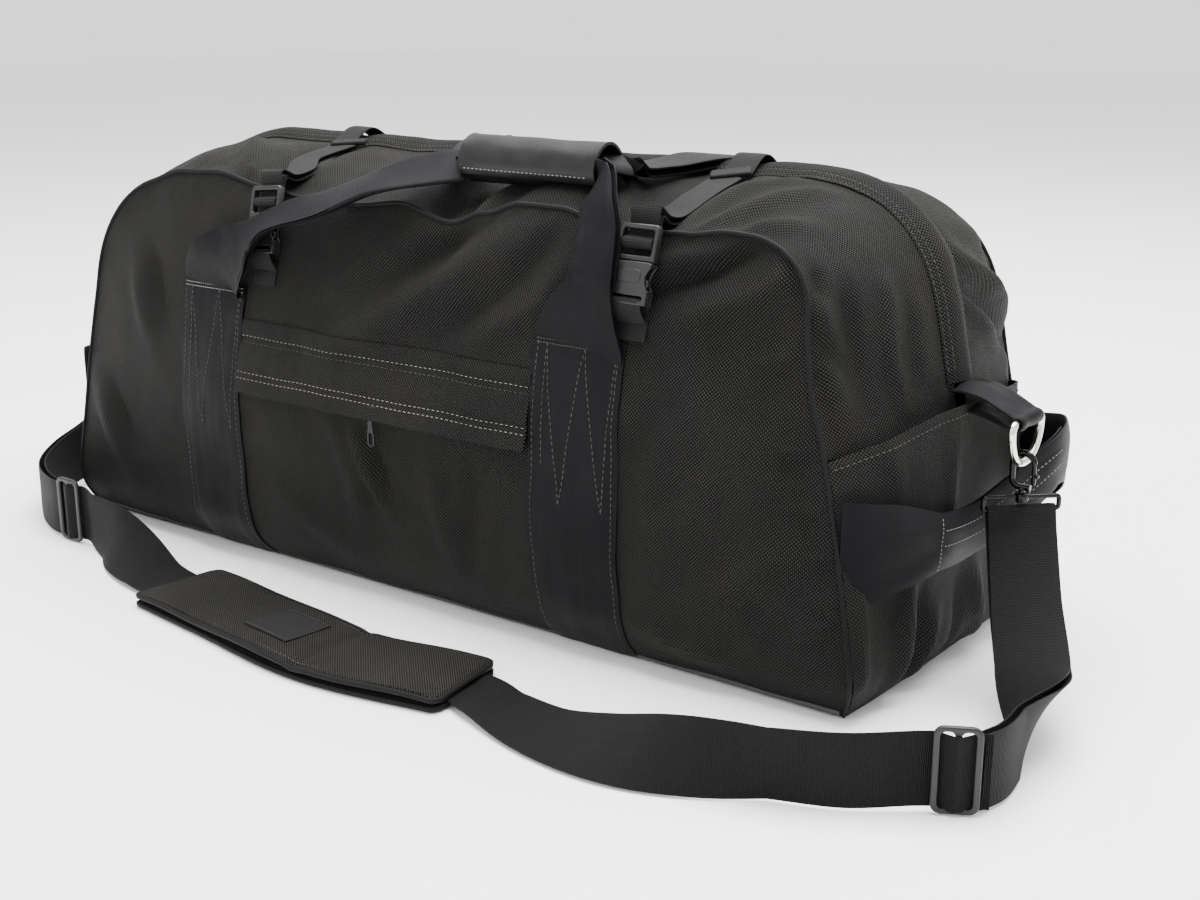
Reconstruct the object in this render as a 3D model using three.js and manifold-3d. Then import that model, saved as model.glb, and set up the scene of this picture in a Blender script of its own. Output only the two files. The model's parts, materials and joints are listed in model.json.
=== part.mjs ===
// A soft travel duffel bag, about 84 cm long, with a shoulder strap lying in front of it.
// Millimetres, +Z up. The origin is at the bottom centre of the bag, +X is one end of the bag
// and -Y is the front, which carries the zipped pocket. Each named mesh is one physical piece.
import * as THREE from 'three';
import { mergeVertices } from 'three/addons/utils/BufferGeometryUtils.js';
import Module from 'manifold-3d';

const wasm = await Module();
wasm.setup();

const group = new THREE.Group();
group.name = 'duffel_bag';

// ---------- driving sizes ----------

const gap = 0.4;                     // clearance between two pieces that touch
const bag = {
  halfLength: 422,                   // at the base
  halfDepth: 160,                    // at the base
  seamHeight: 320,                   // top seam of the front and back panels
  endLean: 0.19,                     // how far the ends lean in for each mm of height
  depthLean: 22 / 320,               // the same for the front and back
  cornerRadius: 75,                  // upper corners of the front and back panels
  crown: 28,                         // rise of the top and ends between their seams
  frontSwell: 28,                    // swell of the front panel
  backSwell: 36.5,                   // swell of the back panel, which has no pocket to hold it flat
  fabric: 3,                         // padded fabric with its lining
};
const pocketSeam = 182;              // height of the seam above each end pocket
const zip = { gussetEdge: 8, halfWidth: 4.4, thickness: 2 };
const flap = { halfWidth: 20, rise: 12, thickness: 2, endHeight: 212 };
const webbing = { wide: 78, thickness: 2.5, strapWidth: 50, strapThickness: 1.8, narrow: 25 };
const handle = { x: 195, patchTop: 244 };
const grip = { x: 109, y: -100, z: 356, length: 130, outer: 18, inner: 15 };
const pocket = { halfWidth: 150, top: 215, bottom: 157, zipHeight: 163 };
const ring = { x: 464, z: 192, wire: 3, halfWidth: 25 };
const strapAcross = new THREE.Vector3(0.72, 0.694, 0);   // width direction of the hanging strap
const buckle = { bottom: 272, split: 302, width: 33, thickness: 9 };

// ---------- materials ----------

const material = (color, roughness, metalness = 0) =>
  new THREE.MeshStandardMaterial({ color, roughness, metalness });
const nylon = material(0x1b1a19, 0.85);
const seatBelt = material(0x17181f, 0.45);
const coarseWebbing = material(0x1c1c1c, 0.8);
const blackPlastic = material(0x141416, 0.4);
const leather = material(0x121213, 0.5);
const nickel = material(0xc9c8c4, 0.15, 1);
const blackMetal = material(0x101010, 0.25, 1);
const board = material(0x2c2c2a, 0.7);

// ---------- solid makers ----------

const v3 = (x, y, z) => new THREE.Vector3(x, y, z);

function addMesh(name, geometry, mat) {
  const mesh = new THREE.Mesh(geometry, mat);
  mesh.name = name;
  group.add(mesh);
  return mesh;
}

// Turns a triangle list inside out when its signed volume is negative.
function solid(points, triangles) {
  let volume = 0;
  for (const [a, b, c] of triangles) {
    volume += points[a].dot(points[b].clone().cross(points[c]));
  }
  const index = triangles.flatMap(([a, b, c]) => (volume < 0 ? [a, c, b] : [a, b, c]));
  const geometry = new THREE.BufferGeometry();
  const flat = points.flatMap((p) => [p.x, p.y, p.z]);
  geometry.setAttribute('position', new THREE.Float32BufferAttribute(flat, 3));
  geometry.setIndex(index);
  geometry.computeVertexNormals();
  return geometry;
}

// A sheet of fabric: surface(u, v) is its outer face and it is thickened inwards, away from `out`.
function sheet(surface, across, along, thickness, out) {
  const grid = [];
  for (let i = 0; i <= across; i += 1) {
    const row = [];
    for (let j = 0; j <= along; j += 1) {
      row.push(surface(i / across, j / along));
    }
    grid.push(row);
  }
  const points = [];
  const outer = [];
  const inner = [];
  for (let i = 0; i <= across; i += 1) {
    outer.push([]);
    inner.push([]);
    for (let j = 0; j <= along; j += 1) {
      const p = grid[i][j];
      const du = grid[Math.min(i + 1, across)][j].clone().sub(grid[Math.max(i - 1, 0)][j]);
      const dv = grid[i][Math.min(j + 1, along)].clone().sub(grid[i][Math.max(j - 1, 0)]);
      const normal = du.cross(dv).normalize();
      if (normal.dot(out(p)) < 0) {
        normal.negate();
      }
      outer[i].push(points.push(p) - 1);
      const q = p.clone().addScaledVector(normal, -thickness);
      q.z = p.z < 0.01 ? 0 : q.z;      // an edge that stands on the floor stays on it
      inner[i].push(points.push(q) - 1);
    }
  }
  const triangles = [];
  const quad = (a, b, c, d) => triangles.push([a, b, c], [a, c, d]);
  for (let i = 0; i < across; i += 1) {
    for (let j = 0; j < along; j += 1) {
      quad(outer[i][j], outer[i + 1][j], outer[i + 1][j + 1], outer[i][j + 1]);
      quad(inner[i][j], inner[i][j + 1], inner[i + 1][j + 1], inner[i + 1][j]);
    }
    quad(outer[i][0], inner[i][0], inner[i + 1][0], outer[i + 1][0]);
    quad(outer[i][along], outer[i + 1][along], inner[i + 1][along], inner[i][along]);
  }
  for (let j = 0; j < along; j += 1) {
    quad(outer[0][j], outer[0][j + 1], inner[0][j + 1], inner[0][j]);
    quad(outer[across][j], inner[across][j], inner[across][j + 1], outer[across][j + 1]);
  }
  return solid(points, triangles);
}

// Sweeps a closed section, given as [across, normal] pairs at each station, along stations of
// {centre, across, normal}. A closed sweep joins its last station to its first.
function sweep(stations, sectionAt, closed = false) {
  const points = [];
  const rings = stations.map((station, i) => sectionAt(i).map(([a, n]) => {
    const p = station.centre.clone();
    p.addScaledVector(station.across, a).addScaledVector(station.normal, n);
    return points.push(p) - 1;
  }));
  const triangles = [];
  const last = closed ? rings.length : rings.length - 1;
  for (let i = 0; i < last; i += 1) {
    const from = rings[i];
    const to = rings[(i + 1) % rings.length];
    for (let k = 0; k < from.length; k += 1) {
      const next = (k + 1) % from.length;
      // Opposite faces split along the same diagonal, so a twisted strap keeps its thickness.
      if (k < from.length / 2) {
        triangles.push([from[k], from[next], to[next]], [from[k], to[next], to[k]]);
      } else {
        triangles.push([from[k], from[next], to[k]], [from[next], to[next], to[k]]);
      }
    }
  }
  if (!closed) {
    for (let k = 1; k < rings[0].length - 1; k += 1) {
      const first = rings[0];
      const end = rings[rings.length - 1];
      triangles.push([first[0], first[k + 1], first[k]], [end[0], end[k], end[k + 1]]);
    }
  }
  return solid(points, triangles);
}

// Stations along a smooth curve through route points {at, across, width}.
function stationsAlong(route, count) {
  const curve = new THREE.CatmullRomCurve3(route.map((r) => r.at), false, 'centripetal');
  return Array.from({ length: count + 1 }, (_, i) => {
    const t = i / count;
    const place = t * (route.length - 1);
    const k = Math.min(Math.floor(place), route.length - 2);
    const f = place - k;
    const tangent = curve.getTangent(t);
    const across = route[k].across.clone().lerp(route[k + 1].across, f);
    across.addScaledVector(tangent, -across.dot(tangent)).normalize();
    const normal = tangent.clone().cross(across).normalize();
    const width = THREE.MathUtils.lerp(route[k].width, route[k + 1].width, f);
    return { centre: curve.getPoint(t), across, normal, width };
  });
}

const flatSection = (width, thickness) => [
  [-width / 2, -thickness / 2],
  [width / 2, -thickness / 2],
  [width / 2, thickness / 2],
  [-width / 2, thickness / 2],
];

function ribbon(route, thickness, count) {
  const stations = stationsAlong(route, count);
  return sweep(stations, (i) => flatSection(stations[i].width, thickness));
}

// A round rod through the points of a flat loop or line whose plane has the given normal.
function rod(line, planeNormal, radius, sides, closed) {
  const section = Array.from({ length: sides }, (_, k) => {
    const angle = ((k + 0.5) / sides) * Math.PI * 2;
    return [radius * Math.cos(angle), radius * Math.sin(angle)];
  });
  const stations = line.map((centre, i) => {
    const before = closed ? line[(i + line.length - 1) % line.length] : line[Math.max(i - 1, 0)];
    const after = closed ? line[(i + 1) % line.length] : line[Math.min(i + 1, line.length - 1)];
    const tangent = after.clone().sub(before).normalize();
    return { centre, across: planeNormal, normal: tangent.cross(planeNormal).normalize() };
  });
  return sweep(stations, () => section, closed);
}

function box(width, depth, height, x, y, z) {
  return new THREE.BoxGeometry(width, depth, height).translate(x, y, z);
}

// Boolean joins and cuts.
function toManifold(geometry) {
  const bare = new THREE.BufferGeometry();
  bare.setAttribute('position', geometry.getAttribute('position').clone());
  bare.setIndex(geometry.getIndex().clone());
  const merged = mergeVertices(bare, 1e-4);
  return new wasm.Manifold(new wasm.Mesh({
    numProp: 3,
    vertProperties: new Float32Array(merged.getAttribute('position').array),
    triVerts: new Uint32Array(merged.getIndex().array),
  }));
}

function fromManifold(manifold) {
  const mesh = manifold.getMesh();
  const geometry = new THREE.BufferGeometry();
  const positions = new THREE.Float32BufferAttribute(Array.from(mesh.vertProperties), 3);
  geometry.setAttribute('position', positions);
  geometry.setIndex(Array.from(mesh.triVerts));
  geometry.computeVertexNormals();
  return geometry;
}

function combine(joined, cuts = []) {
  let result = toManifold(joined[0]);
  for (const piece of joined.slice(1)) {
    result = result.add(toManifold(piece));
  }
  for (const piece of cuts) {
    result = result.subtract(toManifold(piece));
  }
  return fromManifold(result);
}

// Moves a geometry so that its own X, Y and Z run along the given directions from a point.
function placed(geometry, origin, xDir, yDir, zDir) {
  const matrix = new THREE.Matrix4().makeBasis(xDir, yDir, zDir).setPosition(origin);
  return geometry.applyMatrix4(matrix);
}

// Mirrors a geometry across the YZ or XZ plane and keeps its faces pointing out.
function mirrored(geometry, axis) {
  const copy = geometry.clone();
  copy.scale(axis === 'x' ? -1 : 1, axis === 'y' ? -1 : 1, 1);
  const index = copy.getIndex();
  for (let i = 0; i < index.count; i += 3) {
    const second = index.getX(i + 1);
    index.setX(i + 1, index.getX(i + 2));
    index.setX(i + 2, second);
  }
  copy.computeVertexNormals();
  return copy;
}

// ---------- shape of the bag ----------

const halfDepthAt = (z) => bag.halfDepth - bag.depthLean * z;
const leanAngle = Math.atan(bag.endLean);
const corner = { z: bag.seamHeight - bag.cornerRadius };
corner.start = corner.z + bag.cornerRadius * Math.sin(leanAngle);
corner.x = bag.halfLength - bag.endLean * corner.start - bag.cornerRadius * Math.cos(leanAngle);

// Half length of the front panel at a height.
function halfLengthAt(z) {
  if (z <= corner.start) {
    return bag.halfLength - bag.endLean * z;
  }
  const rise = Math.min(z - corner.z, bag.cornerRadius);
  return corner.x + Math.sqrt(bag.cornerRadius ** 2 - rise ** 2);
}

// The outline of the front panel from a height on the +X end, over the top, to the same height on
// the -X end. t runs from 0 to 1 and each point comes with its outward direction.
function outline(t, fromHeight) {
  const side = (corner.start - fromHeight) / Math.cos(leanAngle);
  const arc = bag.cornerRadius * (Math.PI / 2 - leanAngle);
  const half = side + arc + corner.x;
  const mirror = t > 0.5 ? -1 : 1;
  const s = (t > 0.5 ? 1 - t : t) * 2 * half;
  let point;
  if (s <= side) {
    const z = fromHeight + s * Math.cos(leanAngle);
    point = { x: halfLengthAt(z), z, nx: Math.cos(leanAngle), nz: Math.sin(leanAngle) };
  } else if (s <= side + arc) {
    const angle = leanAngle + (s - side) / bag.cornerRadius;
    const nx = Math.cos(angle);
    const nz = Math.sin(angle);
    point = { x: corner.x + bag.cornerRadius * nx, z: corner.z + bag.cornerRadius * nz, nx, nz };
  } else {
    point = { x: corner.x - (s - side - arc), z: bag.seamHeight, nx: 0, nz: 1 };
  }
  return { ...point, x: point.x * mirror, nx: point.nx * mirror };
}

const crownAt = (w) => bag.crown * (1 - Math.abs(w) ** 2.2);

// A point on the top and ends of the bag: t along the outline, y across it, raised by `lift`.
function topPoint(t, y, lift, fromHeight) {
  const o = outline(t, fromHeight);
  const rise = crownAt(y / halfDepthAt(o.z)) + lift;
  return v3(o.x + o.nx * rise, y, o.z + o.nz * rise);
}

// How far a face stands out at x and z, on the front (side -1) or the back (side 1).
function panelY(x, z, side = -1) {
  const most = side < 0 ? bag.frontSwell : bag.backSwell;
  const u = Math.min(Math.abs(x) / halfLengthAt(z), 1);
  const swell = Math.sin((Math.PI * Math.min(Math.max(z, 0), bag.seamHeight)) / bag.seamHeight);
  return halfDepthAt(z) + most * (1 - u ** 4) * swell ** 0.8;
}

// A strip that lies on the front or back panel.
function onPanel(side, x0, x1, z0, z1, lift, across, along, thickness, lean = 0) {
  return sheet((u, v) => {
    const x = THREE.MathUtils.lerp(x0, x1, u);
    const z = THREE.MathUtils.lerp(z0, z1, v);
    return v3(x, side * (panelY(x, z, side) + lift + lean * (1 - v)), z);
  }, across, along, thickness, () => v3(0, side, 0));
}

// Distances along the outline are not even, so heights on the panels bunch up near the top.
const panelHeight = (v) => bag.seamHeight * (1 - (1 - v) ** 1.7);

// ---------- base ----------

addMesh('base_panel', box(2 * 417, 2 * 156, bag.fabric, 0, 0, bag.fabric / 2), nylon);
addMesh('base_board', box(2 * 404, 2 * 146, 3, 0, 0, bag.fabric + gap + 1.5), board);

// ---------- front and back panels ----------

function panel(side) {
  return sheet((u, v) => {
    const z = panelHeight(v);
    const x = (2 * u - 1) * halfLengthAt(z);
    return v3(x, side * panelY(x, z, side), z);
  }, 12, 10, bag.fabric, () => v3(0, side, 0));
}
const pocketSlit = box(2 * pocket.halfWidth - 20, 60, 4, 0, -185, pocket.zipHeight);
addMesh('front_panel', combine([panel(-1)], [pocketSlit]), nylon);
addMesh('back_panel', panel(1), nylon);

// ---------- top and ends between the panels ----------

const gussetEdge = 3.6;              // the gusset starts this far inside the panel's face
function topGusset(side) {
  return sheet((u, v) => {
    const o = outline(u, pocketSeam);
    const y = THREE.MathUtils.lerp(halfDepthAt(o.z) - gussetEdge, zip.gussetEdge, v);
    return topPoint(u, side * y, 0, pocketSeam);
  }, 34, 4, bag.fabric, (p) => v3(p.x, 0, p.z * 2));
}
addMesh('top_gusset_front', topGusset(-1), nylon);
addMesh('top_gusset_rear', topGusset(1), nylon);

addMesh('main_zip', sheet(
  (u, v) => topPoint(u, (2 * v - 1) * zip.halfWidth, 0, flap.endHeight),
  34, 1, zip.thickness, (p) => v3(p.x, 0, p.z * 2),
), coarseWebbing);

addMesh('storm_flap', sheet((u, v) => {
  const w = 2 * v - 1;
  const lift = 3 + (flap.rise - 3) * (1 - w * w);
  return topPoint(u, w * flap.halfWidth, lift, flap.endHeight);
}, 34, 4, flap.thickness, (p) => v3(p.x, 0, p.z * 2)), nylon);

// Swell of the lower end panel at a height.
const lowerSwell = (z) => bag.crown * (Math.max(z, 0) / pocketSeam) ** 0.9;

function lowerEnd(side) {
  return sheet((u, v) => {
    const z = v * (pocketSeam - gap);
    const w = 2 * u - 1;
    const y = w * (halfDepthAt(z) - gussetEdge);
    const rise = lowerSwell(z) * (1 - Math.abs(w) ** 2.2);
    return v3(side * (halfLengthAt(z) + rise), y, z);
  }, 10, 6, bag.fabric, () => v3(side, 0, 0));
}

// Each end pocket is a second layer over the lower end. Its face stays steep, so that its mouth
// stands open in the middle, and its top edge arches up to the ring tab.
const pocketRise = 20;
const pocketFaceX = 427.5;
function endPocket(side) {
  return sheet((u, v) => {
    const w = 2 * u - 1;
    const z = 3 + v * (pocketSeam - 3 + pocketRise * (1 - w * w));
    const y = w * (halfDepthAt(z) - gussetEdge);
    const middle = halfLengthAt(z) + Math.min(lowerSwell(z), bag.crown);
    const behind = middle - Math.min(lowerSwell(z), bag.crown) * Math.abs(w) ** 2.2;
    const stand = (pocketFaceX - middle) * (1 - w ** 4) + 4 * w ** 4;
    return v3(side * (behind + stand), y, z);
  }, 12, 8, 2.5, () => v3(side, 0, 0));
}
for (const [word, side] of [['right', 1], ['left', -1]]) {
  addMesh(`lower_end_${word}`, lowerEnd(side), nylon);
  addMesh(`end_pocket_${word}`, endPocket(side), nylon);
}

// ---------- piping round the front and back panels ----------

for (const [word, side] of [['front', -1], ['back', 1]]) {
  const line = Array.from({ length: 41 }, (_, i) => {
    const o = outline(i / 40, 2.5);
    return v3(o.x + 3.8 * o.nx, side * (halfDepthAt(o.z) + gap), o.z + 3.8 * o.nz);
  });
  addMesh(`piping_${word}`, rod(line, v3(0, 1, 0), 2, 6, false), nylon);
}

// ---------- front pocket ----------

addMesh('pocket_flap', onPanel(-1, -pocket.halfWidth, pocket.halfWidth, pocket.bottom,
  pocket.top, 3.4, 8, 3, 2.4, 6.5), nylon);
addMesh('pocket_zip', onPanel(-1, -142, 142, pocket.zipHeight - 4, pocket.zipHeight + 4, 1.7,
  8, 1, 1.2), coarseWebbing);
addMesh('pocket_lining', sheet((u, v) => {
  const x = THREE.MathUtils.lerp(-148, 148, u);
  const z = THREE.MathUtils.lerp(60, 225, v);
  return v3(x, -panelY(x, z) + 12, z);
}, 6, 6, 1, () => v3(0, -1, 0)), nylon);

const pocketFace = -panelY(0, pocket.zipHeight);
const pocketSlider = { x: 3, z: pocket.zipHeight };
// The slider lies over the zip, with a lug in its middle that holds the pull.
addMesh('pocket_slider', combine([
  box(9, 1.4, 11.6, pocketSlider.x, pocketFace - 3.1, pocketSlider.z),
  box(3, 1.8, 4, pocketSlider.x, pocketFace - 4.6, pocketSlider.z - 3.6),
]), blackMetal);
addMesh('pocket_pull', combine([
  box(7, 1.2, 22, pocketSlider.x, pocketFace - 6.6, pocketSlider.z - 17),
], [
  box(3, 4, 9, pocketSlider.x, pocketFace - 6.6, pocketSlider.z - 20),
]), blackMetal);

// ---------- main zip slider under the storm flap ----------

const crownTop = bag.seamHeight + bag.crown;
const mainSlider = { x: -120 };
addMesh('main_slider', combine([
  box(18, 14.4, 7.2, mainSlider.x, 0, crownTop - 1),
  box(8, 3, 1.6, mainSlider.x, 0, crownTop + 3.2),
], [
  box(20, 9.6, 2.8, mainSlider.x, 0, crownTop - 1),
]), blackMetal);
addMesh('main_pull', combine([
  box(26, 8, 1.4, mainSlider.x + 10, 0, crownTop + 5.2),
], [
  box(10, 4, 4, mainSlider.x + 15, 0, crownTop + 5.2),
]), blackMetal);

// ---------- carry handles ----------

for (const [face, side] of [['front', -1], ['rear', 1]]) {
  for (const [word, end] of [['right', 1], ['left', -1]]) {
    const x = handle.x * end;
    const patch = onPanel(side, x - webbing.wide / 2, x + webbing.wide / 2, 2,
      handle.patchTop, gap + webbing.thickness, 2, 10, webbing.thickness);
    addMesh(`handle_patch_${face}_${word}`, patch, seatBelt);
  }
}

// Each handle is one length of webbing from the top of one patch, through the grip, to the other.
const legWidth = 38;
const gripWidth = 22;
const alongX = v3(1, 0, 0);
const alongY = v3(0, 1, 0);
const stop = (x, y, z, across, width) => ({ at: v3(x, y, z), across, width });
const legFoot = -(panelY(handle.x, handle.patchTop) + 2.4);
const rearFoot = panelY(handle.x, handle.patchTop, 1) + 2.4;
const frontRoute = [
  stop(-192, legFoot, 246, alongX, 58),
  stop(-192, legFoot - 0.5, 254, alongX, 56),
  stop(-184, -168, 286, v3(0.95, 0, -0.3), 44),
  stop(-138, -175, 318, v3(0.7, 0.2, -0.7), legWidth),
  stop(-75, -158, 342, v3(0.3, 0.6, -0.6), legWidth),
  stop(-16, -124, 353, v3(0, 1, -0.2), 30),
  stop(grip.x - 76, grip.y, grip.z - 5, alongY, gripWidth),
  stop(grip.x - 50, grip.y, grip.z - 5, alongY, gripWidth),
  stop(grip.x + 50, grip.y, grip.z - 5, alongY, gripWidth),
  stop(grip.x + 72, grip.y - 3, grip.z - 6, alongY, gripWidth),
  stop(192, -124, 343, v3(0.7, 0.6, 0), 30),
  stop(189, -162, 322, v3(1, 0.2, 0), legWidth),
  stop(190, -168, 286, alongX, 44),
  stop(192, legFoot - 0.5, 254, alongX, 54),
  stop(192, legFoot, 246, alongX, 56),
];
const rearRoute = [
  stop(-192, rearFoot, 246, alongX, 58),
  stop(-192, rearFoot + 0.5, 254, alongX, 56),
  stop(-184, 172, 286, alongX, 44),
  stop(-160, 158, 326, v3(0.9, 0, 0.3), legWidth),
  stop(-110, 102, 352, v3(0.7, 0.6, 0), legWidth),
  stop(-50, 25, 370, v3(0.6, 0.7, 0), legWidth),
  stop(0, -62, 366, v3(0.4, 0.9, 0), 30),
  stop(grip.x - 76, grip.y, grip.z + 5, alongY, gripWidth),
  stop(grip.x - 50, grip.y, grip.z + 5, alongY, gripWidth),
  stop(grip.x + 50, grip.y, grip.z + 5, alongY, gripWidth),
  stop(grip.x + 72, grip.y + 4, grip.z + 8, alongY, gripWidth),
  stop(190, -66, 366, v3(0.9, 0.4, 0), 30),
  stop(194, 25, 370, alongX, legWidth),
  stop(195, 108, 352, alongX, legWidth),
  stop(194, 158, 324, alongX, legWidth),
  stop(192, 172, 286, alongX, 44),
  stop(192, rearFoot + 0.5, 254, alongX, 56),
  stop(192, rearFoot, 246, alongX, 58),
];
for (const [face, route] of [['front', frontRoute], ['rear', rearRoute]]) {
  const solidStrap = ribbon(route, webbing.thickness, 3 * (route.length - 1));
  addMesh(`handle_strap_${face}`, solidStrap, seatBelt);
}

// The grip is a leather sleeve, closed except for a slot along its underside.
const sleeve = new THREE.Shape();
const slot = 0.35;                   // half angle of the slot, in radians
sleeve.absarc(0, 0, grip.outer, -Math.PI / 2 + slot, 1.5 * Math.PI - slot, false);
sleeve.absarc(0, 0, grip.inner, 1.5 * Math.PI - slot, -Math.PI / 2 + slot, true);
const sleeveSolid = new THREE.ExtrudeGeometry(sleeve, {
  depth: grip.length, bevelEnabled: false, curveSegments: 20,
});
sleeveSolid.deleteAttribute('normal');
sleeveSolid.deleteAttribute('uv');
addMesh('grip_wrap', placed(mergeVertices(sleeveSolid, 1e-3),
  v3(grip.x - grip.length / 2, grip.y, grip.z), alongY, v3(0, 0, 1), alongX), leather);

// ---------- grab handles across the ends ----------

const alongZ = v3(0, 0, 1);
// The far half of each handle bows out further than the near half.
const grabRoute = [
  stop(415, -149, 119, alongZ, 76),
  stop(425, -120, 119, alongZ, 66),
  stop(435.5, -70, 114, alongZ, 42),
  stop(439, -20, 112, alongZ, 38),
  stop(452, 25, 128, alongZ, 38),
  stop(464, 62, 147, alongZ, 40),
  stop(453, 105, 145, alongZ, 50),
  stop(430, 135, 130, alongZ, 66),
  stop(415, 149, 119, alongZ, 76),
];
const grabSolid = ribbon(grabRoute, webbing.thickness, 24);
addMesh('grab_handle_right', grabSolid, seatBelt);
addMesh('grab_handle_left', mirrored(grabSolid, 'x'), seatBelt);

// ---------- ring tabs, rings and snap hooks ----------

// Tab: a loop of webbing from the end of the storm flap, out round the bar of the ring and back.
const tabTurn = ring.wire + gap + webbing.thickness / 2;
const tabLine = [v3(418, 0, 209), v3(440, 0, 206.5)];
for (let i = 0; i <= 8; i += 1) {
  const angle = Math.PI / 2 + 0.35 - (i / 8) * (Math.PI + 0.5);
  tabLine.push(v3(ring.x + tabTurn * Math.cos(angle), 0, ring.z + tabTurn * Math.sin(angle)));
}
tabLine.push(v3(444, 0, 193), v3(434, 0, 197));
const tabStations = tabLine.map((centre, i) => {
  const before = tabLine[Math.max(i - 1, 0)];
  const after = tabLine[Math.min(i + 1, tabLine.length - 1)];
  const normal = after.clone().sub(before).normalize().cross(alongY);
  return { centre, across: alongY, normal };
});
const tabSolid = sweep(tabStations, () => flatSection(38, webbing.thickness));
addMesh('ring_tab_right', tabSolid, seatBelt);
addMesh('ring_tab_left', mirrored(tabSolid, 'x'), seatBelt);

// D-ring: a straight bar on top and a half round below.
const ringLine = [v3(ring.x, -ring.halfWidth + 3, ring.z), v3(ring.x, ring.halfWidth - 3, ring.z)];
for (let i = 0; i <= 12; i += 1) {
  const angle = -(i / 12) * Math.PI;
  const y = ring.halfWidth * Math.cos(angle);
  ringLine.push(v3(ring.x, y, ring.z - 6 + ring.halfWidth * Math.sin(angle)));
}
const ringSolid = rod(ringLine, alongX, ring.wire, 8, true);
addMesh('d_ring_right', ringSolid, nickel);
addMesh('d_ring_left', mirrored(ringSolid, 'x'), nickel);

// Snap hook: an open C of rod over the bottom of the ring, ending in a swivel stem. The gate
// closes its open side. The hook lies in the XZ plane.
const ringBottom = ring.z - 6 - ring.halfWidth;
const hookEye = { x: ring.x, z: ringBottom - 1.5, radius: 8, wire: 2.2, tall: 14 };
const hookLine = [];
for (let i = 0; i <= 8; i += 1) {
  const angle = 0.25 + (i / 8) * (Math.PI - 0.25);
  hookLine.push(v3(hookEye.x + hookEye.radius * Math.cos(angle), 0,
    hookEye.z + hookEye.radius * Math.sin(angle)));
}
hookLine.push(v3(hookEye.x - hookEye.radius, 0, hookEye.z - hookEye.tall + 4));
hookLine.push(v3(hookEye.x - 4, 0, hookEye.z - hookEye.tall - 3));
hookLine.push(v3(hookEye.x, 0, hookEye.z - hookEye.tall - 3.6));
hookLine.push(v3(hookEye.x + 5, 0, hookEye.z - hookEye.tall - 3));
const hookBase = hookEye.z - hookEye.tall - 3;
const stem = new THREE.CylinderGeometry(2.2, 2.2, 9, 12).rotateX(Math.PI / 2);
stem.translate(hookEye.x, 0, hookBase - 5.2);
const head = new THREE.CylinderGeometry(3.6, 3.6, 2, 12).rotateX(Math.PI / 2);
head.translate(hookEye.x, 0, hookBase - 10.7);
const hookSolid = combine([rod(hookLine, alongY, hookEye.wire, 8, false), stem, head]);
addMesh('snap_hook_right', hookSolid, blackMetal);
addMesh('snap_hook_left', mirrored(hookSolid, 'x'), blackMetal);

const gateTop = hookEye.z + hookEye.radius * Math.sin(0.25) - 3.4;
const gateSolid = rod([
  v3(hookEye.x + 8, 0, hookBase + 3.6),
  v3(hookEye.x + 7.9, 0, gateTop),
], alongY, 1.7, 8, false);
addMesh('hook_gate_right', gateSolid, blackMetal);
addMesh('hook_gate_left', mirrored(gateSolid, 'x'), blackMetal);

// Wire loop under the hook: a flat rectangle with a collar that the swivel stem turns in.
const loop = { top: hookBase - 7.2, bottom: hookBase - 17, half: 28, wire: 1.8 };
const loopPoint = (a, z) => v3(ring.x, 0, z).addScaledVector(strapAcross, a);
const loopNormal = strapAcross.clone().cross(alongZ).normalize();
const loopLine = [
  loopPoint(-loop.half + 2, loop.top), loopPoint(loop.half - 2, loop.top),
  loopPoint(loop.half, loop.top - 2), loopPoint(loop.half, loop.bottom + 2),
  loopPoint(loop.half - 2, loop.bottom), loopPoint(-loop.half + 2, loop.bottom),
  loopPoint(-loop.half, loop.bottom + 2), loopPoint(-loop.half, loop.top - 2),
];
const collar = new THREE.CylinderGeometry(4.8, 4.8, 5, 12).rotateX(Math.PI / 2);
collar.translate(ring.x, 0, loop.top);
const collarBore = new THREE.CylinderGeometry(2.6, 2.6, 9, 12).rotateX(Math.PI / 2);
collarBore.translate(ring.x, 0, loop.top);
const loopSolid = combine([rod(loopLine, loopNormal, loop.wire, 8, true), collar], [collarBore]);
addMesh('wire_loop_right', loopSolid, blackMetal);
addMesh('wire_loop_left', mirrored(loopSolid, 'x'), blackMetal);

// ---------- shoulder strap ----------

// Both ends of the strap are doubled: through the wire loop and back to the slider buckle.
// A doubled end is one hairpin of webbing around a centre route.
function hairpin(route, count) {
  const stations = stationsAlong(route, count);
  const half = 1.6 + webbing.strapThickness / 2;
  const offset = (i) => {
    const run = i / count;
    return THREE.MathUtils.lerp(2.9, half, Math.min(run * 4, 1));
  };
  const layer = (sign) => stations.map((s, i) => ({
    ...s,
    centre: s.centre.clone().addScaledVector(s.normal, sign * offset(i)),
  }));
  const turn = [];
  const first = stations[0];
  const tangentUp = stations[0].centre.clone().sub(stations[1].centre).normalize();
  for (let i = 1; i < 6; i += 1) {
    const angle = (i / 6) * Math.PI;
    const centre = first.centre.clone();
    centre.addScaledVector(first.normal, 2.9 * Math.cos(angle));
    centre.addScaledVector(tangentUp, 2.9 * Math.sin(angle));
    const normal = first.normal.clone().multiplyScalar(Math.cos(angle));
    normal.addScaledVector(tangentUp, Math.sin(angle));
    turn.push({ centre, across: first.across, normal });
  }
  const outgoing = layer(1).reverse();
  const returning = layer(-1).map((s) => ({ ...s, normal: s.normal.clone().negate() }));
  return sweep([...outgoing, ...turn, ...returning],
    () => flatSection(webbing.strapWidth, webbing.strapThickness));
}
const upright = v3(0, 0, 1);
const wireBar = loop.bottom;
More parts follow.
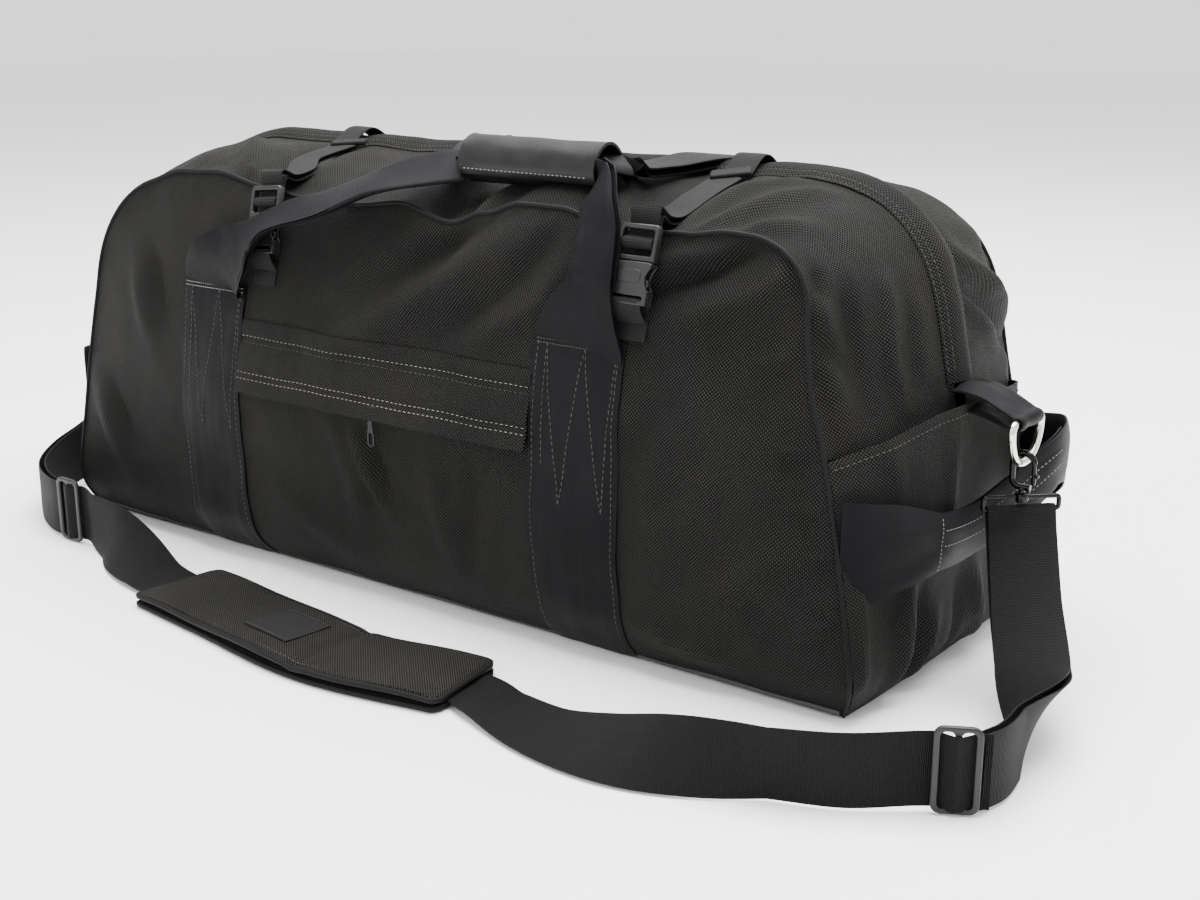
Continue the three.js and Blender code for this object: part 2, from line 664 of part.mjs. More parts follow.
const rightEnd = [
  stop(ring.x, 0, wireBar, strapAcross, 50),
  stop(ring.x + 2.8, -2.9, wireBar - 14, strapAcross, 50),
  stop(486, -34, 72, strapAcross, 50),
  stop(512, -78, 42, v3(0.65, 0.7, 0.3), 50),
  stop(530, -116, 31, v3(0.4, 0.4, 0.8), 50),
  stop(538, -160, 27.5, v3(0, 0.1, 1), 50),
  stop(540, -196, 26.5, upright, 50),
];
addMesh('strap_end_right', hairpin(rightEnd, 22), coarseWebbing);
const leftEnd = [
  stop(-ring.x, 0, wireBar, v3(0.72, -0.694, 0), 50),
  stop(-ring.x - 2.8, -2.9, wireBar - 14, v3(0.72, -0.694, 0), 50),
  stop(-480, -36, 72, v3(0.6, -0.7, -0.4), 50),
  stop(-480, -84, 42, v3(0.3, -0.3, -0.9), 50),
  stop(-462, -146, 30, v3(0, 0.1, -1), 50),
  stop(-420, -196, 27, v3(0, 0, -1), 50),
  stop(-368, -222, 26.5, v3(0, 0, -1), 50),
];
addMesh('strap_end_left', hairpin(leftEnd, 22), coarseWebbing);

const acrossFloor = v3(0.05, 1, 0);
const mainRoute = [
  stop(509, -238, 26.5, upright, 50),
  stop(470, -256, 26.5, upright, 50),
  stop(424, -277, 26, v3(0, -0.1, 1), 50),
  stop(376, -295, 24, v3(0, 0.4, 0.9), 50),
  stop(322, -302, 17, v3(0, 0.8, 0.6), 50),
  stop(262, -294, 9, v3(0.1, 1, 0.25), 50),
  stop(205, -276, 5.6, v3(0.15, 1, 0), 50),
  stop(171, -266, 5.4, v3(0.15, 1, 0), 50),
  stop(56, -284, 5.4, acrossFloor, 50),
  stop(-60, -270, 5.4, v3(-0.1, 1, 0), 50),
  stop(-153, -258, 5.4, v3(-0.1, 1, 0), 50),
  stop(-192, -252, 6.4, v3(-0.05, 1, 0.1), 50),
  stop(-232, -244, 16, v3(0, 0.8, 0.6), 50),
  stop(-268, -236, 24, v3(0, 0.3, 0.95), 50),
  stop(-304, -229, 26.5, upright, 50),
];
addMesh('shoulder_strap', ribbon(mainRoute, webbing.strapThickness, 64), coarseWebbing);

// Shoulder pad: two layers with the strap between them.
const padRoute = (z) => [
  stop(171, -266, z, v3(0.15, 1, 0), 82),
  stop(56, -284, z, acrossFloor, 82),
  stop(-60, -270, z, v3(-0.1, 1, 0), 82),
  stop(-153, -258, z, v3(-0.1, 1, 0), 82),
];
addMesh('shoulder_pad_lower', ribbon(padRoute(2.1), 3.6, 16), nylon);
addMesh('shoulder_pad_upper', ribbon(padRoute(8.8), 3.6, 16), nylon);

// Slider buckles: a frame with a centre bar, standing on edge beside the strap.
function slideBuckle(origin, alongStrap) {
  const facing = alongStrap.clone().cross(upright).normalize();
  const frame = combine([box(30, 4, 58, 0, 0, 0)], [
    box(9, 8, 51, -6.4, 0, 0),
    box(9, 8, 51, 6.4, 0, 0),
  ]);
  return placed(frame, origin, alongStrap, facing.negate(), upright);
}
addMesh('slide_buckle_right', slideBuckle(v3(525, -222, 29.5),
  v3(-0.88, -0.475, 0).normalize()), blackPlastic);
addMesh('slide_buckle_left', slideBuckle(v3(-336, -228, 29.5),
  v3(-1, 0, 0)), blackPlastic);

// ---------- compression straps with side-release buckles ----------

// One buckle is built upright at the origin: X across, Z up the strap, -Y outwards.
function buckleParts() {
  const half = buckle.width / 2;
  const depth = buckle.thickness;
  const femaleHeight = buckle.split - buckle.bottom;
  const female = combine([box(buckle.width, depth, femaleHeight, 0, 0, femaleHeight / 2)], [
    box(buckle.width - 5.4, depth - 3.6, 22.5, 0, 0, femaleHeight - 11),
    box(buckle.width + 4, depth - 3.6, 15.6, 0, 0, femaleHeight - 11.2),
    box(26, depth + 4, 3.4, 0, 0, 4.6),
  ]);
  const male = combine([
    box(buckle.width, depth - 2, 26, 0, 0, femaleHeight + gap + 13),
    box(5, depth - 5, 20, 0, 0, femaleHeight - 8),
  ], [
    box(26, depth + 4, 5.4, 0, 0, femaleHeight + 9),
    box(26, depth + 4, 4.6, 0, 0, femaleHeight + 19.2),
  ]);
  const arm = (side) => combine([
    box(3.2, depth - 5, 18, side * 8.4, 0, femaleHeight - 9.5),
    box(5.1, depth - 5, 5.4, side * (half - 4.5), 0, femaleHeight - 15.8),
  ]);
  return { female, male, arm_outer: arm(1), arm_inner: arm(-1) };
}
const straps = [
  { word: 'right', x: 236, lean: 0, over: [[236, -60], [234, 0], [232, 70]], back: 230 },
  { word: 'left', x: -138, lean: -0.1, over: [[-160, -60], [-176, 0], [-192, 70]], back: -204 },
];
for (const strap of straps) {
  // The buckle leans back with the upper edge of the front panel.
  const origin = v3(strap.x - strap.lean * 50, 0, buckle.bottom);
  origin.y = -(panelY(origin.x, buckle.bottom) + 4.6 + buckle.thickness / 2);
  const up = v3(strap.lean, 0.318, 1).normalize();
  const inward = up.clone().cross(alongX).normalize();
  const sideways = inward.clone().cross(up).normalize();
  const parts = buckleParts();
  const names = {
    female: 'buckle_socket',
    male: 'buckle_plug',
    arm_outer: 'buckle_arm_outer',
    arm_inner: 'buckle_arm_inner',
  };
  for (const [key, name] of Object.entries(names)) {
    const part = placed(parts[key], origin, sideways, inward, up);
    addMesh(`${name}_${strap.word}`, part, blackPlastic);
  }
  // The short anchor is sewn to the front panel and holds the socket's bar from behind.
  addMesh(`strap_anchor_${strap.word}`, onPanel(-1, origin.x - 12.5, origin.x + 12.5, 248,
    buckle.bottom + 7, gap + 1.6, 1, 3, 1.6), coarseWebbing);

  // The long strap runs from the back panel over the top, down behind the plug, through the
  // plug's lower slot and back up as a loose tail that ends in a folded tab.
  const width = webbing.narrow;
  const onBuckle = (depth, height) => ({
    at: origin.clone().addScaledVector(inward, depth).addScaledVector(up, height),
    across: sideways,
    width,
  });
  const slotHeight = buckle.split - buckle.bottom + 9;
  const plugTop = buckle.split - buckle.bottom + 27;
  const beside = buckle.thickness / 2 + 0.2;
  const [a, b, c] = strap.over;
  const clear = (y) => crownAt(y / halfDepthAt(bag.seamHeight)) + bag.seamHeight;
  const back = (z, lift) => stop(strap.back, panelY(strap.back, z, 1) + lift, z, alongX, width);
  const nearX = origin.x + strap.lean * 62;
  const route = [
    back(262, 2.2),
    back(290, 4),
    stop(strap.back, 152, 322, alongX, width),
    stop(strap.back, 124, clear(124) + 6, alongX, width),
    stop(c[0], c[1], clear(c[1]) + 6, alongX, width),
    stop(b[0], 26, clear(24) + 14.5, alongX, width),
    stop(b[0], -26, clear(-24) + 14.5, alongX, width),
    stop(a[0], a[1] - 5, clear(a[1] - 5) + 6, alongX, width),
    stop(nearX, -118, clear(-118) + 5, alongX, width),
    stop(nearX, -130, clear(-130) + 11, alongX, width),
    onBuckle(beside + 1.5, plugTop + 8),
    onBuckle(beside, plugTop - 4),
    onBuckle(beside, slotHeight + 4.5),
    onBuckle(beside - 1.2, slotHeight + 0.8),
    onBuckle(0, slotHeight),
    onBuckle(1.2 - beside, slotHeight + 0.8),
    onBuckle(-beside, slotHeight + 4.5),
    onBuckle(-beside, plugTop - 2),
    onBuckle(-1.5, plugTop + 13),
    stop(nearX, -130, clear(-130) + 16.5, alongX, width),
    stop(nearX, -116, clear(-116) + 10.5, alongX, width),
    stop(a[0], a[1] - 24, clear(a[1] - 24) + 9.5, alongX, width),
    stop(a[0], a[1], clear(a[1]) + 9.5, alongX, width),
  ];
  const count = 3 * (route.length - 1);
  const stations = stationsAlong(route, count);
  const tabFrom = count - 2;
  addMesh(`compression_strap_${strap.word}`, sweep(stations,
    (i) => flatSection(width, i > tabFrom ? 3.4 : 1.5)), coarseWebbing);
}

export default group;
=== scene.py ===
"""A soft duffel bag with its shoulder strap lying in front of it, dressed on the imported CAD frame.

Lengths are in millimetres inside the script and become metres when a mesh is made. X runs along
the bag, -Y is its front and Z is up, as in the frame.
"""
import json
import math

import bpy
import numpy as np
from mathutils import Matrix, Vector, noise
from mathutils.bvhtree import BVHTree


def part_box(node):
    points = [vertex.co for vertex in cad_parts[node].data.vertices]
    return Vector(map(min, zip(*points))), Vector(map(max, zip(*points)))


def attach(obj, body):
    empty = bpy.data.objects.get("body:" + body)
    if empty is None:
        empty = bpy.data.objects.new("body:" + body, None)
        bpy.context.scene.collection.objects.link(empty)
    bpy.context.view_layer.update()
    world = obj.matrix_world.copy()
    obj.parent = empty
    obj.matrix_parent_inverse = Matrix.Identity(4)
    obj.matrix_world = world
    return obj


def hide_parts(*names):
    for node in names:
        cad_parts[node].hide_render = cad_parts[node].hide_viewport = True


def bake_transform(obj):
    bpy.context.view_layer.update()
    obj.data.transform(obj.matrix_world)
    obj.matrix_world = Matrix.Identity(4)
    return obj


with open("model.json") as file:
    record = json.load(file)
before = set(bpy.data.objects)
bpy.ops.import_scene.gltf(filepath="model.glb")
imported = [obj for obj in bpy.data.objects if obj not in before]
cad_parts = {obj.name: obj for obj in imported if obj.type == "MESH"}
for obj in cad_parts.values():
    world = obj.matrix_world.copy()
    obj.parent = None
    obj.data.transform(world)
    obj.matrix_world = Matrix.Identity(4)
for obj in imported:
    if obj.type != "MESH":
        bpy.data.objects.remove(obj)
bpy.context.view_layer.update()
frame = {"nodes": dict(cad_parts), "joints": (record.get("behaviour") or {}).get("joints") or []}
MM = 0.001
noise.seed_set(1)                             # unset, the noise vectors start from the clock


# ---------- driving sizes, from the frame ----------

def low(node, axis):
    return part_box(node)[0][axis] / MM


def high(node, axis):
    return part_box(node)[1][axis] / MM


def mid(node, axis):
    return (low(node, axis) + high(node, axis)) / 2


def centre_of(node):
    return np.array([mid(node, axis) for axis in range(3)])


HALF_LENGTH = high("front_panel", 0)          # at the base
HALF_DEPTH = high("base_panel", 1) + 4        # at the base
SEAM_TOP = high("front_panel", 2)             # top seam of the front and back panels
CROWN = round(high("top_gusset_front", 2) - SEAM_TOP)     # rise of the top above its seams
POCKET_SEAM = low("top_gusset_front", 2)      # where the upper ends stop
END_LEAN = 0.19                               # how far the ends lean in for each mm of height
DEPTH_LEAN = 22 / 320                         # the same for the front and back
FRONT_SWELL = 28                              # how far the front panel bulges
BACK_SWELL = 36.5                             # the same for the back panel
CLOTH = 2.4                                   # padded fabric with its lining
TUCK_X = 19                                   # how far the ends curl in at the floor
TUCK_Y = 20                                   # the same for the front and back
LEAN_ANGLE = math.atan(END_LEAN)
CORNER_Y = 140                                # depth at which the seams' corners are measured
ZIP_GAP = 8                                   # half the gap between the two halves of the top

ENDS = ((1, "right"), (-1, "left"))
PANELS = ((-1, "front"), (1, "back"))
SIDES = ((-1, "front"), (1, "rear"))


# ---------- camera ----------

CAMERA_PLACE = (0.894, -1.072, 0.486)         # metres
CAMERA_TURN = 36.87                           # degrees round the bag, from straight in front
CAMERA_DOWN = 15.84                           # degrees below the horizontal


def make_camera():
    data = bpy.data.cameras.new("camera")
    data.sensor_width = 36
    data.lens = 49.4
    camera = bpy.data.objects.new("camera", data)
    camera.location = CAMERA_PLACE
    camera.rotation_euler = (math.radians(90 - CAMERA_DOWN), 0, math.radians(CAMERA_TURN))
    bpy.context.scene.collection.objects.link(camera)
    bpy.context.scene.camera = camera


make_camera()


# ---------- mesh making ----------

def make_object(name, points, faces, material, cloth=None, sharp=40):
    """A mesh object from points in mm. cloth holds each point's place on the flat fabric, in mm."""
    mesh = bpy.data.meshes.new(name)
    mesh.from_pydata([tuple(p) for p in np.asarray(points, float) * MM], [], faces)
    if cloth is not None:
        attribute = mesh.attributes.new("cloth", "FLOAT_VECTOR", "POINT")
        attribute.data.foreach_set("vector", (np.asarray(cloth, float) * MM).ravel())
    mesh.shade_smooth()
    if sharp:
        mesh.set_sharp_from_angle(angle=math.radians(sharp))
    mesh.materials.append(material)
    piece = bpy.data.objects.new(name, mesh)
    bpy.context.scene.collection.objects.link(piece)
    return piece


def place(piece, body, slot, *nodes):
    """Puts a finished piece on its body and hides the CAD nodes it stands for."""
    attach(piece, body)
    if nodes:
        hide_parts(*nodes)
    return piece


def normalize(vectors):
    length = np.linalg.norm(vectors, axis=-1, keepdims=True)
    return vectors / np.maximum(length, 1e-9)


def grid_normals(points, outward):
    """Normals of a grid of points, turned towards `outward`."""
    du = np.gradient(points, axis=0)
    dv = np.gradient(points, axis=1)
    normals = normalize(np.cross(du, dv))
    flip = np.sum(normals * outward, axis=-1) < 0
    normals[flip] *= -1
    return normals


def grid_faces(rows, columns, offset=0):
    return [(offset + i * columns + j, offset + (i + 1) * columns + j,
             offset + (i + 1) * columns + j + 1, offset + i * columns + j + 1)
            for i in range(rows - 1) for j in range(columns - 1)]


def slab_faces(rows, columns):
    """Faces of a closed slab between two grids of points, and the ids round the first one's rim."""
    count = rows * columns
    faces = grid_faces(rows, columns)
    faces += [tuple(reversed(f)) for f in grid_faces(rows, columns, count)]
    rim = [(i, 0) for i in range(rows)] + [(rows - 1, j) for j in range(1, columns)]
    rim += [(i, columns - 1) for i in range(rows - 2, -1, -1)]
    rim += [(0, j) for j in range(columns - 2, 0, -1)]
    ids = [i * columns + j for i, j in rim]
    faces += [(b, a, a + count, b + count) for a, b in zip(ids, ids[1:] + ids[:1])]
    return faces, ids


def sheet(name, points, outward, material, cloth, thickness=CLOTH):
    """A closed sheet of fabric whose outer face is the grid of points."""
    normals = grid_normals(points, outward)
    inner = points - normals * thickness
    faces, _ = slab_faces(*points.shape[:2])
    a, b, c = points[0, 0], points[1, 0], points[1, 1]
    if np.dot(np.cross(b - a, c - a), normals[0, 0]) < 0:
        faces = [tuple(reversed(f)) for f in faces]
    both = np.concatenate([points.reshape(-1, 3), inner.reshape(-1, 3)])
    flat = np.concatenate([cloth.reshape(-1, 3)] * 2)
    return make_object(name, both, faces, material, flat, sharp=60)


def catmull_rom(stops, t):
    """A point on the centripetal curve through the stops, at t from 0 to 1."""
    last = len(stops) - 2
    place_on = t * (len(stops) - 1)
    k = min(int(place_on), last)
    u = place_on - k
    p1, p2 = stops[k], stops[k + 1]
    p0 = stops[k - 1] if k > 0 else 2 * p1 - p2
    p3 = stops[k + 2] if k < last else 2 * p2 - p1
    d0, d1, d2 = (max(np.linalg.norm(b - a) ** 0.5, 1e-4)
                  for a, b in ((p0, p1), (p1, p2), (p2, p3)))
    m1 = ((p1 - p0) / d0 - (p2 - p0) / (d0 + d1) + (p2 - p1) / d1) * d1
    m2 = ((p2 - p1) / d1 - (p3 - p1) / (d1 + d2) + (p3 - p2) / d2) * d1
    return (p1 * (2 * u ** 3 - 3 * u ** 2 + 1) + m1 * (u ** 3 - 2 * u ** 2 + u)
            + p2 * (3 * u ** 2 - 2 * u ** 3) + m2 * (u ** 3 - u ** 2))


def run_along(path):
    """How far along a path each of its points lies."""
    return np.concatenate([[0], np.cumsum(np.linalg.norm(np.diff(path, axis=0), axis=1))])


class Line:
    """Evenly spaced stations along a route of stops (x, y, z, across, width): centre, tangent,
    across and normal directions, width and the distance run so far."""

    def __init__(self, stops, step=4.0):
        at = [np.array(s[:3], float) for s in stops]
        fine = np.array([catmull_rom(at, t) for t in np.linspace(0, 1, 40 * len(at))])
        run = run_along(fine)
        self.length = run[-1]
        count = max(int(self.length / step), 4)
        self.run = np.linspace(0, self.length, count + 1)
        self.centre = np.stack([np.interp(self.run, run, fine[:, k]) for k in range(3)], 1)
        places = np.interp(self.run, run, np.linspace(0, len(at) - 1, len(fine)))
        across = np.array([np.array(s[3], float) for s in stops])
        width = np.array([s[4] for s in stops], float)
        index = np.arange(len(at))
        self.across = np.stack([np.interp(places, index, across[:, k]) for k in range(3)], 1)
        self.width = np.interp(places, index, width)
        self.tangent = normalize(np.gradient(self.centre, axis=0))
        along = np.sum(self.across * self.tangent, axis=1, keepdims=True)
        self.across = normalize(self.across - along * self.tangent)
        self.normal = normalize(np.cross(self.tangent, self.across))


def band(name, line, thickness, material, curve, points_across=9):
    """Webbing along a line. curve(i, a) gives the middle of the section at station i, as
    (across, normal), for a from -1 to 1."""
    rings, flat = [], []
    for i in range(len(line.run)):
        middle = np.array([curve(i, a) for a in np.linspace(-1, 1, points_across)])
        way = normalize(np.gradient(middle, axis=0))
        side = np.stack([-way[:, 1], way[:, 0]], 1)
        half = np.full(points_across, thickness / 2)
        half[[0, -1]] *= 0.55
        top = middle + side * half[:, None]
        bottom = middle - side * half[:, None]
        section = np.concatenate([top, bottom[::-1]])
        rings.append(line.centre[i] + section[:, :1] * line.across[i]
                     + section[:, 1:] * line.normal[i])
        steps = np.linalg.norm(np.diff(middle, axis=0), axis=1)
        arc = np.concatenate([[0], np.cumsum(steps)]) - steps.sum() / 2
        arc = np.concatenate([arc, arc[::-1]])
        flat.append(np.stack([arc, np.full_like(arc, line.run[i]), arc * 0], 1))
    size = 2 * points_across
    faces = []
    for i in range(len(rings) - 1):
        for k in range(size):
            n = (k + 1) % size
            faces.append((i * size + k, i * size + n, (i + 1) * size + n, (i + 1) * size + k))
    for end, turn in ((0, 1), (len(rings) - 1, -1)):
        for k in range(points_across - 1):
            quad = (k, k + 1, size - 2 - k, size - 1 - k)
            faces.append(tuple(end * size + q for q in quad)[::-turn])
    points = np.concatenate(rings)
    return make_object(name, points, orient(points, faces), material, np.concatenate(flat), 50)


def orient(points, faces):
    """Turns every face round if the closed mesh is inside out."""
    volume = 0.0
    for f in faces:
        a = points[f[0]]
        for k in range(1, len(f) - 1):
            volume += np.dot(a, np.cross(points[f[k]], points[f[k + 1]]))
    return faces if volume > 0 else [tuple(reversed(f)) for f in faces]


def rod_ring(spot, radius, side, top, sides):
    """Points of one round section."""
    angles = [2 * math.pi * k / sides for k in range(sides)]
    return [spot + radius * (math.cos(a) * side + math.sin(a) * top) for a in angles]


def rod_faces(rings, sides, closed=False, start=0):
    """Faces of a rod of round sections, capped unless it is a closed ring."""
    faces = []
    for i in range(rings if closed else rings - 1):
        a = start + i * sides
        b = start + ((i + 1) % rings) * sides
        faces += [(a + k, b + k, b + (k + 1) % sides, a + (k + 1) % sides) for k in range(sides)]
    if not closed:
        faces.append(tuple(start + k for k in range(sides)))
        faces.append(tuple(start + (rings - 1) * sides + k for k in reversed(range(sides))))
    return faces


def tube(name, path, radius, material, sides=12, closed=False, normal=None):
    """A round rod through path. radius is a number or one for each point."""
    points, faces = tube_parts(path, radius, sides, closed, normal)
    return make_object(name, points, faces, material, None, 50)


def tube_parts(path, radius, sides=12, closed=False, normal=None):
    """The points and faces of a rod; normal is a direction that keeps its sections from turning."""
    path = np.asarray(path, float)
    radius = np.broadcast_to(np.asarray(radius, float), len(path))
    if closed:
        tangent = np.roll(path, -1, 0) - np.roll(path, 1, 0)
    else:
        tangent = np.gradient(path, axis=0)
    tangent = normalize(tangent)
    up = np.array(normal if normal is not None else (0, 0, 1), float)
    frames = []
    for t in tangent:
        side = np.cross(t, up)
        if np.linalg.norm(side) < 1e-3:
            side = np.cross(t, up + np.array([0.3, 0.2, 0.1]))
        side = side / np.linalg.norm(side)
        up = np.cross(side, t)
        frames.append((side, up))
    points = []
    for p, r, (side, top) in zip(path, radius, frames):
        points += rod_ring(p, r, side, top, sides)
    points = np.array(points)
    return points, orient(points, rod_faces(len(path), sides, closed))


def smooth_step(x):
    x = np.clip(x, 0, 1)
    return x * x * (3 - 2 * x)


def tuck(z, depth, height=44):
    """How far the soft lower edge of the bag curls in under it at height z."""
    return depth * np.maximum(1 - z / height, 0) ** 2


# ---------- materials ----------

class Nodes:
    """Shorthand for building one material's nodes."""

    def __init__(self, name, **sockets):
        self.material = bpy.data.materials.new(name)
        self.material.use_nodes = True
        self.tree = self.material.node_tree
        self.shader = self.tree.nodes["Principled BSDF"]
        for key, value in sockets.items():
            self.shader.inputs[key.replace("_", " ")].default_value = value

    def add(self, kind, **settings):
        made = self.tree.nodes.new("ShaderNode" + kind)
        for key, value in settings.items():
            setattr(made, key, value)
        return made

    def link(self, source, target):
        self.tree.links.new(source, target)

    def math(self, operation, a, b=None, c=None):
        made = self.add("Math", operation=operation)
        for socket, value in zip(made.inputs, (a, b, c)):
            if value is None:
                continue
            if isinstance(value, (int, float)):
                socket.default_value = value
            else:
                self.link(value, socket)
        return made.outputs[0]

    def cloth(self):
        """Across and along the fabric, in metres."""
        found = self.add("Attribute", attribute_name="cloth")
        split = self.add("SeparateXYZ")
        self.link(found.outputs["Vector"], split.inputs[0])
        return split.outputs[0], split.outputs[1]

    def noise(self, scale, detail=4, roughness=0.6, stretch=None):
        coordinates = self.add("TexCoord").outputs["Object"]
        if stretch:
            mapping = self.add("Mapping")
            mapping.inputs["Scale"].default_value = stretch
            self.link(coordinates, mapping.inputs["Vector"])
            coordinates = mapping.outputs[0]
        made = self.add("TexNoise")
        made.inputs["Scale"].default_value = scale
        made.inputs["Detail"].default_value = detail
        made.inputs["Roughness"].default_value = roughness
        self.link(coordinates, made.inputs["Vector"])
        return made.outputs["Fac"]

    def ramp(self, factor, *stops):
        """A colour ramp with stops of (position, colour)."""
        made = self.add("ValToRGB")
        while len(made.color_ramp.elements) < len(stops):
            made.color_ramp.elements.new(0.5)
        for element, (position, colour) in zip(made.color_ramp.elements, stops):
            element.position = position
            element.color = (*colour, 1)
        self.link(factor, made.inputs[0])
        return made.outputs[0]

    def mix(self, factor, a, b, blend="MIX"):
        made = self.add("Mix", data_type="RGBA", blend_type=blend)
        for socket, value in zip((made.inputs[0], made.inputs[6], made.inputs[7]), (factor, a, b)):
            if isinstance(value, (int, float)):
                socket.default_value = value
            elif isinstance(value, tuple):
                socket.default_value = (*value, 1)
            else:
                self.link(value, socket)
        return made.outputs[2]

    def bump(self, height, distance, strength):
        made = self.add("Bump")
        made.inputs["Distance"].default_value = distance
        made.inputs["Strength"].default_value = strength
        self.link(height, made.inputs["Height"])
        return made.outputs[0]

    def finish(self, colour=None, roughness=None, normal=None):
        for key, value in (("Base Color", colour), ("Roughness", roughness), ("Normal", normal)):
            if value is not None:
                self.link(value, self.shader.inputs[key])
        return self.material


def ballistic_nylon(name, cell=1.35, light=0.031, dark=0.0012, sheen=0.004):
    """Black basket-woven nylon: square floats that lie along and across in turn."""
    n = Nodes(name, Sheen_Weight=sheen, Sheen_Roughness=0.4, Specular_IOR_Level=0.08)
    x, y = n.cloth()
    wave_x = n.math("SINE", n.math("MULTIPLY", x, math.pi / (cell * MM)))
    wave_y = n.math("SINE", n.math("MULTIPLY", y, math.pi / (cell * MM)))
    turn = n.math("GREATER_THAN", n.math("MULTIPLY", wave_x, wave_y), 0)
    ridge_x = n.math("ABSOLUTE", wave_x)
    ridge_y = n.math("ABSOLUTE", wave_y)
    along = n.math("MULTIPLY", turn, n.math("POWER", ridge_x, 0.6))
    across = n.math("MULTIPLY", n.math("SUBTRACT", 1, turn), n.math("POWER", ridge_y, 0.6))
    floats = n.math("ADD", along, across)
    pits = n.math("POWER", n.math("MULTIPLY", ridge_x, ridge_y), 0.35)
    height = n.math("MULTIPLY", floats, pits)
    wear = n.noise(9, 5, 0.65)
    fine = n.noise(420, 2, 0.5)
    # Painted light: the tone gives the tops of the floats that run one way a painted highlight, up
    # to light, and the pits between floats painted shade, down from dark; the wear ramp adds uneven
    # wear.
    tone = n.math("MULTIPLY_ADD", turn, 0.55, n.math("MULTIPLY", height, 0.45))
    colour = n.ramp(tone, (0.05, (dark * 0.35, dark * 0.34, dark * 0.32)),
                    (0.5, (dark * 1.2, dark * 1.16, dark * 1.08)),
                    (1.0, (light, light * 0.96, light * 0.88)))
    worn = n.ramp(wear, (0.35, (0.8, 0.8, 0.82)), (0.7, (1.25, 1.22, 1.16)))
    colour = n.mix(1.0, colour, worn, "MULTIPLY")
    rough = n.math("MULTIPLY_ADD", fine, 0.15, 0.55)
    return n.finish(colour, rough, n.bump(height, 0.0009, 1.0))


def webbing(name, rib, colour, rough, sheen, bump=0.0004, chevron=0.0, streak=0.25, fine=0.5,
            gloss=0.14):
    """Webbing with ribs across it every `rib` mm; chevron slants them into a herringbone."""
    n = Nodes(name, Sheen_Weight=sheen, Sheen_Roughness=0.35, Specular_IOR_Level=gloss)
    x, y = n.cloth()
    slant = n.math("PINGPONG", x, 0.0042)
    place_on = n.math("MULTIPLY_ADD", slant, chevron, y)
    ribs = n.math("ABSOLUTE", n.math("SINE", n.math("MULTIPLY", place_on, math.pi / (rib * MM))))
    cords = n.math("ABSOLUTE", n.math("SINE", n.math("MULTIPLY", x, math.pi / (rib * 0.8 * MM))))
    height = n.math("MULTIPLY_ADD", ribs, 1 - fine, n.math("MULTIPLY", cords, fine))
    wear = n.noise(14, 5, 0.7)
    lengthways = n.noise(60, 3, 0.6, (1, 1, 0.12))
    # Painted light: the colour follows the rib height, so the grooves get painted shade; the
    # lengthways streaks and the uneven wear lift the rib tops towards a bright bluish end, which is
    # painted sheen. streak sets both streaks and wear.
    tone = n.math("MULTIPLY_ADD", wear, streak, n.math("MULTIPLY", lengthways, streak))
    painted_light_and_wear = n.math("MULTIPLY_ADD", height, 0.55, tone)
    r, g, b = colour
    mapped = n.ramp(painted_light_and_wear, (0.1, (r * 0.3, g * 0.3, b * 0.3)), (0.55, colour),
                    (0.95, (r * 2.3, g * 2.3, b * 2.4)))
    roughness = n.math("MULTIPLY_ADD", wear, 0.2, rough - 0.1)
    return n.finish(mapped, roughness, n.bump(height, bump, 0.8))


def moulded_plastic():
    """Black plastic with a fine grain and uneven gloss."""
    n = Nodes("black_plastic", Specular_IOR_Level=0.3)
    grain = n.noise(900, 3, 0.6)
    wear = n.noise(25, 5, 0.7)
    colour = n.ramp(wear, (0.3, (0.005, 0.005, 0.0055)), (0.75, (0.012, 0.012, 0.0125)))
    rough = n.math("MULTIPLY_ADD", wear, 0.22, 0.26)
    return n.finish(colour, rough, n.bump(grain, 0.00008, 0.6))


def grip_leather():
    """Black leather: small cells with soft creases."""
    n = Nodes("leather", Specular_IOR_Level=0.2, Coat_Weight=0.01, Coat_Roughness=0.35)
    coordinates = n.add("TexCoord").outputs["Object"]
    cells = n.add("TexVoronoi", feature="DISTANCE_TO_EDGE")
    cells.inputs["Scale"].default_value = 520
    n.link(coordinates, cells.inputs["Vector"])
    creases = n.noise(70, 5, 0.65)
    height = n.math("MULTIPLY_ADD", creases, 0.7, n.math("MINIMUM", cells.outputs[0], 0.25))
    colour = n.ramp(creases, (0.3, (0.0035, 0.0035, 0.0035)), (0.7, (0.008, 0.008, 0.0077)))
    rough = n.math("MULTIPLY_ADD", creases, 0.25, 0.3)
    return n.finish(colour, rough, n.bump(height, 0.00025, 0.6))


def metal(name, colour, rough, coat=0.0):
    """Metal with light scuffs; coat is the share of clear lacquer."""
    n = Nodes(name, Metallic=1.0, Coat_Weight=coat, Coat_Roughness=0.1)
    scuffs = n.noise(120, 4, 0.7)
    r, g, b = colour
    mapped = n.ramp(scuffs, (0.3, (r * 0.85, g * 0.85, b * 0.84)), (0.7, colour))
    roughness = n.math("MULTIPLY_ADD", scuffs, 0.12, rough - 0.05)
    return n.finish(mapped, roughness, n.bump(scuffs, 0.00004, 0.3))


def thread(name, colour):
    """Twisted sewing thread, faded in places."""
    n = Nodes(name, Specular_IOR_Level=0.2)
    twist = n.noise(1500, 2, 0.5)
    fade = n.noise(18, 4, 0.7)
    r, g, b = colour
    mapped = n.ramp(fade, (0.32, (r * 0.45, g * 0.45, b * 0.45)), (0.62, colour))
    rough = n.math("MULTIPLY_ADD", twist, 0.2, 0.55)
    return n.finish(mapped, rough, n.bump(twist, 0.0001, 0.7))
